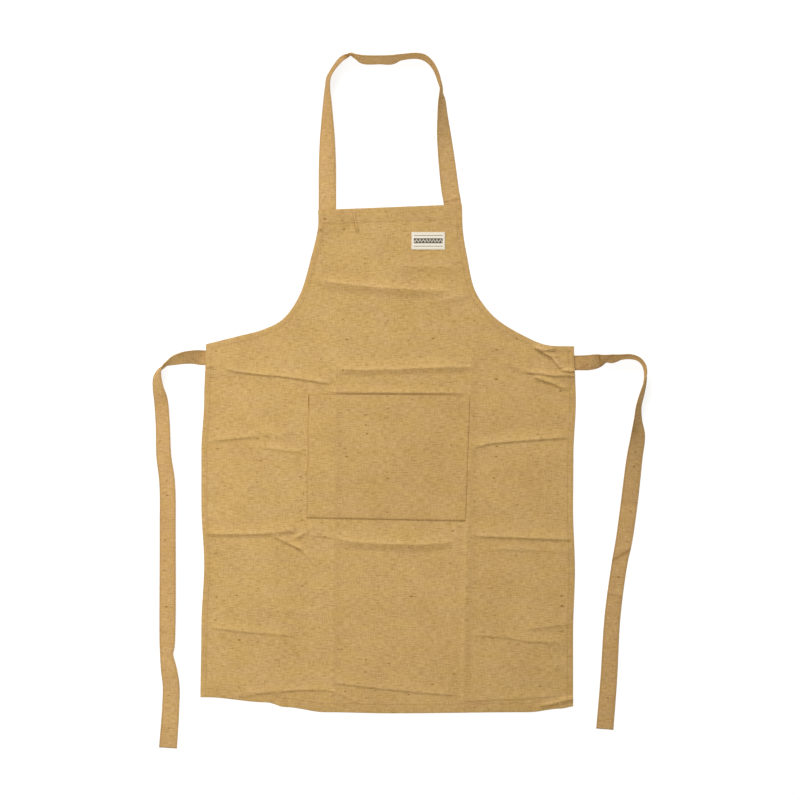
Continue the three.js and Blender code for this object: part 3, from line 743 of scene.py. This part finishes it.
def body_grid():
    """Plan of the body's points, with each point's distance from the sides, the top and the bottom."""
    bib, skirt = body_stops()
    left, right = (side_points(rows, side, bib, skirt) for rows, side in ARMHOLES)
    inner = inner_points(left, right, row_middles(bib, skirt))
    plan = np.concatenate([left, inner, right[:, ::-1]], axis=1)
    x = plan[..., 0]
    reach = from_table(BOTTOM_EDGE, "across", x / HALF_WAIST, "down")
    y = np.where(plan[..., 1] < 0, plan[..., 1] * reach, plan[..., 1])
    stops = hem_stops(SIDE_HEM)
    from_side = np.concatenate([stops, np.full(inner.shape[1], HALF_WAIST), stops[::-1]])
    from_top = np.concatenate([bib, np.full(len(skirt), SKIRT_LENGTH)])
    from_bottom = np.concatenate([np.full(len(bib), SKIRT_LENGTH), SKIRT_LENGTH - skirt])
    return x, y, *np.broadcast_arrays(from_side, from_top[:, None], from_bottom[:, None])


def make_body():
    x, y, from_side, from_top, from_bottom = body_grid()
    hem = np.zeros_like(x)
    seam = np.zeros_like(x)
    for distance, width in ((from_side, SIDE_HEM), (from_top, TOP_HEM), (from_bottom, BOTTOM_HEM)):
        hem = np.maximum(hem, hem_share(distance, width))
        seam = np.maximum(seam, seam_line(distance, width - SEAM_INSET))
    edge = np.minimum(from_side, np.minimum(from_top, from_bottom))
    base = lift(x, y) + (1 - HEM_SHOW) * HEM_RISE * (1 - hem)
    low, high = cloth_sides(base, edge, CLOTH + HEM_RISE * hem)
    _, shade = folds(x, y)
    # Painted shade where the hems double the cloth and in the seams' grooves
    shade += HEM_SHADE * hem + SEAM_SHADE * seam
    return sheet("body_cloth", x, y, low, high - SEAM_DEPTH * seam, shade)


# Pocket

def pocket_stops():
    """Distances across the pocket and down it at which it has points."""
    side = np.concatenate([ROUNDING_STOPS, SEAM_INSET + GROOVE_STOPS])
    across = stops_between(side, POCKET_WIDTH, side, POCKET_STEP)
    down = stops_between(hem_stops(POCKET_HEM), POCKET_DEPTH, side, POCKET_STEP)
    return np.meshgrid(across, down)


def pocket_thickness(down):
    return CLOTH + HEM_SHOW * HEM_RISE * hem_share(down, POCKET_HEM)


def make_pocket():
    across, down = pocket_stops()
    x, y = pocket_place(across / POCKET_WIDTH, down / POCKET_DEPTH)
    from_side = np.minimum(across, POCKET_WIDTH - across)
    from_foot = POCKET_DEPTH - down
    sewn = np.minimum(from_side, from_foot)
    seam = seam_line(sewn, SEAM_INSET)
    seat = pocket_seat(across, down, x, y)
    low, high = cloth_sides(seat, np.minimum(sewn, down), pocket_thickness(down))
    _, shade = folds(x, y)
    # Painted shade: a little over the whole pocket, which doubles the cloth, and a dark line along its
    # edges, deepest on its left edge near the mouth
    shade += HEM_SHADE
    by_mouth = smooth(1.5 - down / POCKET_HEM)
    for distance, depth in (
        (across, SIDE_EDGE_SHADE * (1 + MOUTH_SHADE_GAIN * by_mouth)),
        (from_foot, FOOT_EDGE_SHADE),
        (np.minimum(POCKET_WIDTH - across, down), FAINT_EDGE_SHADE),
    ):
        shade = np.maximum(shade, HEM_SHADE + depth * edge_line(distance))
    return sheet("pocket_cloth", x, y, low, high - SEAM_DEPTH * seam, shade)


def pocket_place(across, down):
    """Plan of the pocket at shares across and down it."""
    weights = [(1 - across) * (1 - down), across * (1 - down), (1 - across) * down, across * down]
    x, y = (
        sum(weight * share for weight, share in zip(weights, shares)) for shares in POCKET_CORNERS.values()
    )
    pucker = np.sin(2 * math.pi * POCKET_PUCKERS * down) * smooth(down / PUCKER_FADE)
    pucker *= POCKET_PUCKER * (1 - across)
    return x * POCKET_WIDTH + pucker, -POCKET_DROP - y * POCKET_DEPTH


def pocket_seat(across, down, x, y):
    """Height of the pocket's underside, which stands off the body most at the middle of its mouth."""
    from_side = np.minimum(across, POCKET_WIDTH - across) / POCKET_WIDTH / POCKET_SIDE_SLOPE
    from_foot = (1 - down / POCKET_DEPTH) / (1 - POCKET_OPEN_DEPTH)
    standoff = POCKET_GAPE * smooth(from_side) * smooth(from_foot)
    return on_body(x, y) + standoff


# Label

def label_corner():
    return HALF_BIB - LABEL_FROM_SIDE - LABEL_WIDTH, bib_top(HALF_BIB) - LABEL_FROM_TOP - LABEL_HEIGHT


def make_label():
    across, up = (
        stops_between(ROUNDING_STOPS, size, ROUNDING_STOPS, LABEL_STEP)
        for size in (LABEL_WIDTH, LABEL_HEIGHT)
    )
    across, up = np.meshgrid(across, up[::-1])
    left, foot = label_corner()
    x = left + across
    y = foot + up
    edge = np.minimum(np.minimum(across, LABEL_WIDTH - across), np.minimum(up, LABEL_HEIGHT - up))
    low, high = cloth_sides(on_body(x, y), edge, LABEL_THICKNESS)
    high = high - SEAM_DEPTH * seam_line(edge, LABEL_SEAM)
    return sheet("label_cloth", x, y, low, high, np.zeros_like(x), flat=(across, up))


# Straps

Route = namedtuple("Route", "middles wide face half bow along")


def strap_route(stations, edge):
    """The course of a strap whose stations have x, y, turn and width.

    edge says on which side of its way the raised edge is, 1 left or -1 right. The route has middles,
    the directions wide across the strap and out of its face, half widths, bows and distances along it.
    """
    _, length = arc_places(stations, np.zeros(1))
    shares = even(0, 1, STRAP_STEP / length)
    places, _ = arc_places(stations, shares)
    points = spline(stations, places)
    turn = np.radians(points[:, 2])[:, None]
    half = points[:, 3] / 2
    way = tangents(points[:, :2])
    aside = edge * rows_of(-way[:, 1], way[:, 0], np.zeros(len(way)))
    up = np.array([0, 0, 1])
    wide = aside * np.cos(turn) + up * np.sin(turn)
    face = up * np.cos(turn) - aside * np.sin(turn)
    rise = half * np.abs(np.sin(turn[:, 0])) + STRAP_THICKNESS / 2 * np.abs(np.cos(turn[:, 0]))
    middles = np.column_stack([points[:, :2], rise])
    bow = STRAP_BOW * smooth(1 - np.abs(points[:, 2] - 90) / BOW_TURN)
    return Route(middles, wide, face, half, bow, shares * length)


def strap_points(route, across, above):
    """Points at distances across a strap and above its middle surface, which bows where it is upright."""
    height = above + route.bow[:, None] * (0.5 - (across / route.half[:, None]) ** 2)
    points = route.middles[:, None] + route.wide[:, None] * across[..., None]
    return points + route.face[:, None] * height[..., None]


def strap_marks(marks, along, across):
    """How dark its marks of painted shade make a strap, and how much lighter where they are painted light.
    """
    length = along.max()
    dark = np.zeros(across.shape)
    for mark in marks:
        away = along[:, None] - mark.place * length - mark.slant * across
        dark += mark.depth * np.exp(-(away / (mark.width * MARK_WIDTH)) ** 2)
    return dark


def around_strap(near, middle, far):
    """Values over a strap from its raised edge to the other and back under it, from those at its stops."""
    over = [near, middle, far[..., ::-1]]
    under = [far[..., 1:], middle, near[..., :0:-1]]
    return np.concatenate(over + under, axis=-1)


def strap_depths(seam):
    """Heights of a strap's points around its section, over the surface through its middle."""
    shape = edge_shape(STRAP_STOPS) - SEAM_DEPTH * seam / (STRAP_THICKNESS / 2)
    shape[0] = 0
    depth = around_strap(shape, [1], shape) * STRAP_THICKNESS / 2
    depth[2 * len(STRAP_STOPS) + 1:] *= -1
    return depth


def make_strap(name, stations, edge, marks):
    route = strap_route(stations, edge)
    seam = seam_line(STRAP_STOPS, STRAP_SEAM)
    outer = route.half[:, None] - STRAP_STOPS
    across = around_strap(outer, np.zeros((len(outer), 1)), -outer)
    vertices = strap_points(route, across, strap_depths(seam)).reshape(-1, 3)
    faces = tube_faces(*across.shape)
    if edge < 0:
        faces = [face[::-1] for face in faces]
    along = np.broadcast_to(route.along[:, None], across.shape)
    flat = rows_of(across, along)
    # Painted shade along the seam grooves and the folded edges of the strap
    shade_and_wear = SEAM_SHADE * seam + STRAP_EDGE_SHADE * edge_line(STRAP_STOPS)
    shade = around_strap(shade_and_wear, [0], shade_and_wear) + strap_marks(marks, route.along, across)
    return cloth_mesh(name, vertices, faces, flat, shade.ravel())


def neck_stations():
    x = NECK_STATIONS["out"] * STRAP_SPREAD
    y = bib_top(x) + NECK_STATIONS["up"] * NECK_LOOP_RISE
    laid = np.column_stack([x, y, NECK_STATIONS["turn"], np.full(len(x), STRAP_WIDTH)])
    tuck = np.array([0, -SEAM_TUCK, 0, 0])
    return np.vstack([laid[0] + tuck, laid, laid[-1] + tuck])


def tie_stations(rows, side, drop, reach, fall):
    seam = skirt_side(side, drop)
    x = seam + side * rows["out"] * reach
    y = -drop - rows["down"] * fall
    laid = np.column_stack([x, y, rows["turn"], rows["width"] * TIE_WIDTH])
    tuck = np.array([-side * SEAM_TUCK, 0, 0, 0])
    return np.vstack([laid[0] + tuck, laid])


# Stitches

def resampled(points, pitch):
    """Rows of points at an even pitch along the line that their first three columns follow."""
    run = distances_along(points[:, :3])
    places = np.arange(pitch / 2, run[-1], pitch)
    return np.column_stack([np.interp(places, run, column) for column in points.T])


def stitch_shape():
    """Points of one stitch around its middle, in sections along x with z up, and its faces."""
    angles = np.linspace(0, 2 * math.pi, STITCH_CORNERS + 1)[:-1]
    along, size, rise = (column[:, None] for column in STITCH_SECTIONS.values())
    shape = np.broadcast_arrays(
        along * STITCH_LENGTH,
        size * np.cos(angles) * THREAD_RADIUS,
        (rise + size * np.sin(angles)) * THREAD_RADIUS,
    )
    return rows_of(*shape), tube_faces(len(along), STITCH_CORNERS)


def stitch_mesh(name, runs):
    """One mesh of all the stitches along runs, whose rows are a surface point and the normal there."""
    shape, shape_faces = stitch_shape()
    vertices = []
    for points in runs:
        centres = resampled(points, STITCH_PITCH)
        way = tangents(centres[:, :3])
        up = centres[:, 3:] - way * np.sum(centres[:, 3:] * way, axis=1, keepdims=True)
        up /= np.linalg.norm(up, axis=1, keepdims=True)
        aside = np.cross(up, way)
        vertices.append(
            centres[:, None, :3]
            + way[:, None] * shape[None, :, :1]
            + aside[:, None] * shape[None, :, 1:2]
            + up[:, None] * shape[None, :, 2:]
        )
    points = np.concatenate(vertices).reshape(-1, 3)
    faces = [
        [start + corner for corner in face]
        for start in range(0, len(points), len(shape))
        for face in shape_faces
    ]
    return cloth_mesh(name, points, faces, points[:, :2])


def level_run(x, y, z):
    """A run of stitches on cloth that lies about level."""
    return np.column_stack([x, y, z, np.tile([0, 0, 1], (len(x), 1))])


def nearest_stop(stops, place):
    return int(np.argmin(np.abs(stops - place)))


def body_stitches():
    x, y, _, from_top, from_bottom = body_grid()
    column = nearest_stop(hem_stops(SIDE_HEM), SIDE_HEM - SEAM_INSET)
    top_row = nearest_stop(from_top[:, 0], TOP_HEM - SEAM_INSET)
    foot_row = nearest_stop(from_bottom[:, 0], BOTTOM_HEM - SEAM_INSET)
    inner = slice(column, x.shape[1] - column)
    high = lift(x, y) + CLOTH + HEM_RISE - SEAM_DEPTH
    last = x.shape[1] - 1 - column
    lines = [(slice(None), column), (slice(None), last), (top_row, inner), (foot_row, inner)]
    return stitch_mesh("body_stitching", [level_run(x[line], y[line], high[line]) for line in lines])


def pocket_stitches():
    low = POCKET_DEPTH - SEAM_INSET
    right = POCKET_WIDTH - SEAM_INSET
    side = even(SEAM_INSET, low, POCKET_STEP)
    foot = even(SEAM_INSET, right, POCKET_STEP)
    runs = []
    for line in ((SEAM_INSET, side), (foot, low), (right, side[::-1])):
        across, down = np.broadcast_arrays(*line)
        x, y = pocket_place(across / POCKET_WIDTH, down / POCKET_DEPTH)
        z = pocket_seat(across, down, x, y) + pocket_thickness(down) - SEAM_DEPTH
        runs.append(level_run(x, y, z))
    return stitch_mesh("pocket_stitching", runs)


def label_stitches():
    size = np.array([LABEL_WIDTH, LABEL_HEIGHT]) - 2 * LABEL_SEAM
    around = np.array([(0, 0), (1, 0), (1, 1), (0, 1), (0, 0)])
    corners = np.array(label_corner()) + LABEL_SEAM + around * size
    runs = []
    for start, end in zip(corners[:-1], corners[1:]):
        x, y = np.linspace(start, end, LABEL_SEAM_POINTS).T
        runs.append(level_run(x, y, on_body(x, y) + LABEL_THICKNESS - SEAM_DEPTH))
    return stitch_mesh("label_stitching", runs)


def strap_stitches(name, stations, edge):
    route = strap_route(stations, edge)
    seam_across = (route.half - STRAP_SEAM)[:, None]
    height = STRAP_THICKNESS / 2 - STRAP_STITCH_SINK * SEAM_DEPTH
    runs = []
    for side in (-1, 1):
        for front in (-1, 1):
            seam = strap_points(route, side * seam_across, front * height)
            runs.append(np.column_stack([seam[:, 0], route.face * front]))
    return stitch_mesh(name, runs)


# Materials

def new_material(name):
    material = bpy.data.materials.new(name)
    material.use_nodes = True
    return material, material.node_tree, material.node_tree.nodes["Principled BSDF"]


def node(tree, kind, inputs, **settings):
    """A new node, whose inputs take values or other nodes' outputs."""
    made = tree.nodes.new(kind)
    for key, value in settings.items():
        setattr(made, key, value)
    for key, value in inputs.items():
        if isinstance(value, bpy.types.NodeSocket):
            tree.links.new(value, made.inputs[key])
        else:
            made.inputs[key].default_value = value
    return made


def settle(shader, values):
    """Set constant values on a shader's own inputs."""
    for key, value in values.items():
        shader.inputs[key].default_value = value


def maths(tree, operation, *values):
    return node(tree, "ShaderNodeMath", dict(enumerate(values)), operation=operation).outputs[0]


def vector_maths(tree, operation, *values):
    return node(tree, "ShaderNodeVectorMath", dict(enumerate(values)), operation=operation).outputs[0]


def flat_place(tree):
    """Place on the cloth laid flat, in metres."""
    return node(tree, "ShaderNodeUVMap", {}, uv_map="cloth").outputs["UV"]


def in_cells(tree, place, across, along):
    """The place counted in cells that measure across by along."""
    return vector_maths(tree, "MULTIPLY", place, (1 / across, 1 / along, 0))


def noise(tree, place, spot, detail=1.0):
    """Noise whose spots have the given measures across and along the cloth."""
    inputs = {"Vector": in_cells(tree, place, *spot), "Scale": 1.0, "Detail": detail}
    return node(tree, "ShaderNodeTexNoise", inputs, noise_dimensions="2D").outputs["Fac"]


def add_bump(tree, shader, height, strength):
    bump = node(tree, "ShaderNodeBump", {"Height": height, "Strength": strength, "Distance": BUMP_DISTANCE})
    tree.links.new(bump.outputs["Normal"], shader.inputs["Normal"])


def ramp(tree, value, stops):
    made = node(tree, "ShaderNodeValToRGB", {"Fac": value})
    elements = made.color_ramp.elements
    while len(elements) < len(stops):
        elements.new(0.5)
    for element, (position, colour) in zip(elements, stops):
        element.position = position
        element.color = (*colour, 1)
    return made.outputs["Color"]


def woven_height(tree, place):
    """Height of a plain weave, where rounded threads pass over and under one another."""
    split = node(tree, "ShaderNodeSeparateXYZ", {0: place}).outputs
    across, along = (
        maths(tree, "SINE", maths(tree, "MULTIPLY", way, math.pi / WEAVE_PITCH)) for way in split[:2]
    )
    over = maths(tree, "GREATER_THAN", maths(tree, "MULTIPLY", across, along), 0.0)
    warp = maths(tree, "MULTIPLY", maths(tree, "ABSOLUTE", across), over)
    weft = maths(tree, "MULTIPLY", maths(tree, "ABSOLUTE", along), maths(tree, "SUBTRACT", 1.0, over))
    return maths(tree, "ADD", warp, weft)


def yarn_colour(tree, place, weft, brown, middle, straw):
    """Colour of the mixed yarns, with some darker slubs."""
    warp = noise(tree, place, WARP_SPOT)
    blotch = noise(tree, place, BLOTCH_SPOT)
    slub = maths(tree, "GREATER_THAN", noise(tree, place, SLUB_SPOT), SLUB_LEVEL)
    mixed = maths(tree, "MULTIPLY_ADD", slub, -SLUB_MIX, 0.5)
    for spots, share in ((weft, WEFT_MIX), (warp, WARP_MIX), (blotch, BLOTCH_MIX)):
        mixed = maths(tree, "ADD", mixed, maths(tree, "MULTIPLY_ADD", spots, share, -share / 2))
    colour = ramp(tree, mixed, [(0, brown), (0.5, middle), (1, straw)])
    tinted = noise(tree, place, TINT_SPOT, detail=3.0)
    tint = ramp(tree, tinted, [(0.35, GOLDEN_TINT), (0.65, ROSY_TINT)])
    return vector_maths(tree, "MULTIPLY", colour, tint)


def nep_shade(tree, place):
    """How much darker neps make the cloth: knots of fibre in about half of its cells."""
    cells = in_cells(tree, place, *NEP_CELL)
    spots = node(tree, "ShaderNodeTexVoronoi", {"Vector": cells, "Scale": 1.0}, voronoi_dimensions="2D")
    chosen = node(tree, "ShaderNodeSeparateColor", {0: spots.outputs["Color"]}).outputs
    radius = maths(tree, "MULTIPLY_ADD", chosen[0], 2 * NEP_RADIUS, -NEP_RADIUS)
    nep = maths(tree, "LESS_THAN", spots.outputs["Distance"], radius)
    return maths(tree, "MULTIPLY", nep, maths(tree, "MULTIPLY_ADD", chosen[1], NEP_SHADE_RANGE, NEP_SHADE))


def heathered_cloth(name, yarns, sheen, gloss):
    """Plain-weave cotton whose yarns vary from brown to straw, with slubs and dark neps, and painted shade
    and highlights from the mesh.
    """
    material, tree, shader = new_material(name)
    place = flat_place(tree)
    weft = noise(tree, place, WEFT_SPOT, detail=2.0)
    # The mesh's shade attribute holds painted shade, and painted highlights where it is negative
    shade = node(tree, "ShaderNodeAttribute", {}, attribute_name="shade").outputs["Fac"]
    dark = maths(tree, "ADD", shade, nep_shade(tree, place))
    light = vector_maths(tree, "MULTIPLY_ADD", dark, SHADE_TINT, (1, 1, 1))
    shaded = vector_maths(tree, "MULTIPLY", yarn_colour(tree, place, weft, *yarns), light)
    tree.links.new(shaded, shader.inputs["Base Color"])
    thick_yarns = maths(tree, "MULTIPLY", weft, YARN_RELIEF)
    add_bump(tree, shader, maths(tree, "ADD", woven_height(tree, place), thick_yarns), strength=0.6)
    settle(shader, {"Roughness": 0.9, "Specular IOR Level": gloss, "Sheen Weight": sheen})
    return material


def label_pattern(tree, across, height):
    """1 on two fine lines and on the band between them beside its zigzag, and 0 elsewhere."""
    away = maths(tree, "ABSOLUTE", height)
    band = maths(tree, "LESS_THAN", away, BAND_HEIGHT / 2)
    line = maths(tree, "COMPARE", away, FINE_LINE_OUT, FINE_LINE_WIDTH / 2)
    zigzag = maths(tree, "PINGPONG", across, ZIGZAG_PITCH / 2)
    zigzag = maths(tree, "MULTIPLY_ADD", zigzag, 2 * ZIGZAG_HEIGHT / ZIGZAG_PITCH, -ZIGZAG_HEIGHT / 2)
    beside = maths(tree, "SUBTRACT", 1.0, maths(tree, "COMPARE", height, zigzag, ZIGZAG_WIDTH / 2))
    inside = maths(tree, "COMPARE", across, LABEL_WIDTH / 2, LABEL_WIDTH / 2 - LABEL_MARGIN)
    pattern = maths(tree, "MAXIMUM", line, maths(tree, "MULTIPLY", band, beside))
    return maths(tree, "MULTIPLY", pattern, inside)


def woven_label(cream, brown):
    """Tape with fine ribs and a slightly worn pattern."""
    material, tree, shader = new_material("woven_label")
    place = flat_place(tree)
    across, up, _ = node(tree, "ShaderNodeSeparateXYZ", {0: place}).outputs
    pattern = label_pattern(tree, across, maths(tree, "SUBTRACT", up, LABEL_HEIGHT / 2))
    wear = noise(tree, place, LABEL_WEAR_SPOT, detail=2.0)
    # The printed pattern, its strength varying with wear
    shade_and_wear = maths(tree, "MULTIPLY", pattern, maths(tree, "MULTIPLY_ADD", wear, BAND_WEAR, BAND_STRENGTH))
    mixed = node(tree, "ShaderNodeMix", {0: shade_and_wear, 6: (*cream, 1), 7: (*brown, 1)}, data_type="RGBA")
    tree.links.new(mixed.outputs[2], shader.inputs["Base Color"])
    ribs = maths(tree, "SINE", maths(tree, "MULTIPLY", up, 2 * math.pi / RIB_PITCH))
    relief = maths(tree, "MULTIPLY_ADD", ribs, RIB_RELIEF, maths(tree, "ADD", wear, shade_and_wear))
    add_bump(tree, shader, relief, strength=0.4)
    settle(shader, {"Roughness": 0.75, "Specular IOR Level": 0.3})
    return material


def thread(name, colour):
    """Sewing thread, with the twist of its strands."""
    material, tree, shader = new_material(name)
    place = node(tree, "ShaderNodeTexCoord", {}).outputs["Object"]
    inputs = {"Vector": place, "Scale": STRAND_SCALE, "Detail": 1.0}
    strands = node(tree, "ShaderNodeTexNoise", inputs).outputs["Fac"]
    dark = tuple(STRAND_DARK * part for part in colour)
    shades = ramp(tree, strands, [(0.3, dark), (0.7, colour)])
    tree.links.new(shades, shader.inputs["Base Color"])
    add_bump(tree, shader, strands, strength=0.4)
    settle(shader, {"Roughness": 0.7})
    return material


# Surroundings

def make_floor():
    half = FLOOR_SIZE / 2
    corners = [(-half, -half), (half, -half), (half, half), (-half, half)]
    mesh = bpy.data.meshes.new("floor")
    mesh.from_pydata([(x, y, -FLOOR_DROP) for x, y in corners], [], [(0, 1, 2, 3)])
    material, _, shader = new_material("pale_floor")
    settle(shader, {"Base Color": FLOOR_COLOUR, "Roughness": 0.95, "Specular IOR Level": 0})
    settle(shader, {"Emission Color": WHITE, "Emission Strength": FLOOR_GLOW})
    mesh.materials.append(material)
    floor = placed("floor", mesh)
    return floor


def make_light(name, place, target, size, power):
    data = bpy.data.lights.new(name, "AREA")
    data.shape = "SQUARE"
    data.size = size
    data.energy = power
    light = placed(name, data)
    aim = np.array(target, float) - np.array(place, float)
    aim /= np.linalg.norm(aim)
    light.location = place
    light.rotation_euler = (math.acos(-aim[2]), 0, math.atan2(aim[1], aim[0]) - math.pi / 2)
    light.visible_camera = False


def make_camera():
    data = bpy.data.cameras.new("camera")
    data.lens = LENS
    data.sensor_width = SENSOR
    data.clip_end = CLIP_END
    camera = placed("camera", data)
    camera.location = (*VIEW_CENTRE, VIEW_WIDTH * LENS / SENSOR)
    bpy.context.scene.camera = camera


def make_world():
    world = bpy.data.worlds.new("studio")
    world.use_nodes = True
    settle(world.node_tree.nodes["Background"], {"Color": WHITE, "Strength": WORLD_STRENGTH})
    bpy.context.scene.world = world


# Pieces on their body

def dress(piece, material, slot, *nodes):
    """Give a piece its material and let it replace the nodes. The slot is not used."""
    piece.data.materials.append(material)
    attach(piece, "root")
    if nodes:
        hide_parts(*nodes)
    return piece


bpy.context.scene.view_settings.view_transform = "Standard"
make_camera()
make_world()
make_light("top_light", place=(-0.4, 3.0, 2.6), target=(0, -0.1, 0), size=1.2, power=90)
make_light("side_light", place=(-0.85, -0.3, 1.45), target=(0, -0.2, 0), size=0.9, power=12.4)
floor = make_floor()

body_cotton = heathered_cloth("body_cotton", BODY_YARNS, sheen=0.05, gloss=0.15)
strap_cotton = heathered_cloth("strap_cotton", STRAP_YARNS, sheen=0, gloss=0.05)
label_tape = woven_label(LABEL_CREAM, LABEL_BROWN)
cloth_thread = thread("golden_thread", GOLDEN_THREAD)
label_thread = thread("cream_thread", CREAM_THREAD)

body = dress(make_body(), body_cotton, "apron_cloth", "front_panel")
body_seams = dress(body_stitches(), cloth_thread, "apron_cloth")

pocket = dress(make_pocket(), body_cotton, "apron_cloth", "pocket")
pocket_seams = dress(pocket_stitches(), cloth_thread, "apron_cloth")

label = dress(make_label(), label_tape, "label_cloth", "label")
label_seams = dress(label_stitches(), label_thread, "label_cloth")

left_tie = tie_stations(LEFT_TIE_STATIONS, -1, LEFT_TIE_DROP, LEFT_TIE_REACH, LEFT_TIE_FALL)
right_tie = tie_stations(RIGHT_TIE_STATIONS, 1, RIGHT_TIE_DROP, RIGHT_TIE_REACH, RIGHT_TIE_FALL)
for cad_node, stations, edge, marks, width, cut_length in (
    ("neck_strap", neck_stations(), -1, NECK_MARKS, STRAP_WIDTH, 0.746),
    ("waist_tie_left", left_tie, -1, LEFT_TIE_MARKS, TIE_WIDTH, 0.781),
    ("waist_tie_right", right_tie, 1, RIGHT_TIE_MARKS, TIE_WIDTH, 0.802),
):
    cloth = make_strap(cad_node + "_cloth", stations, edge, marks)
    strap = dress(cloth, strap_cotton, "strap_cloth", cad_node)
    stitches = strap_stitches(cad_node + "_stitching", stations, edge)
    seams = dress(stitches, cloth_thread, "strap_cloth")
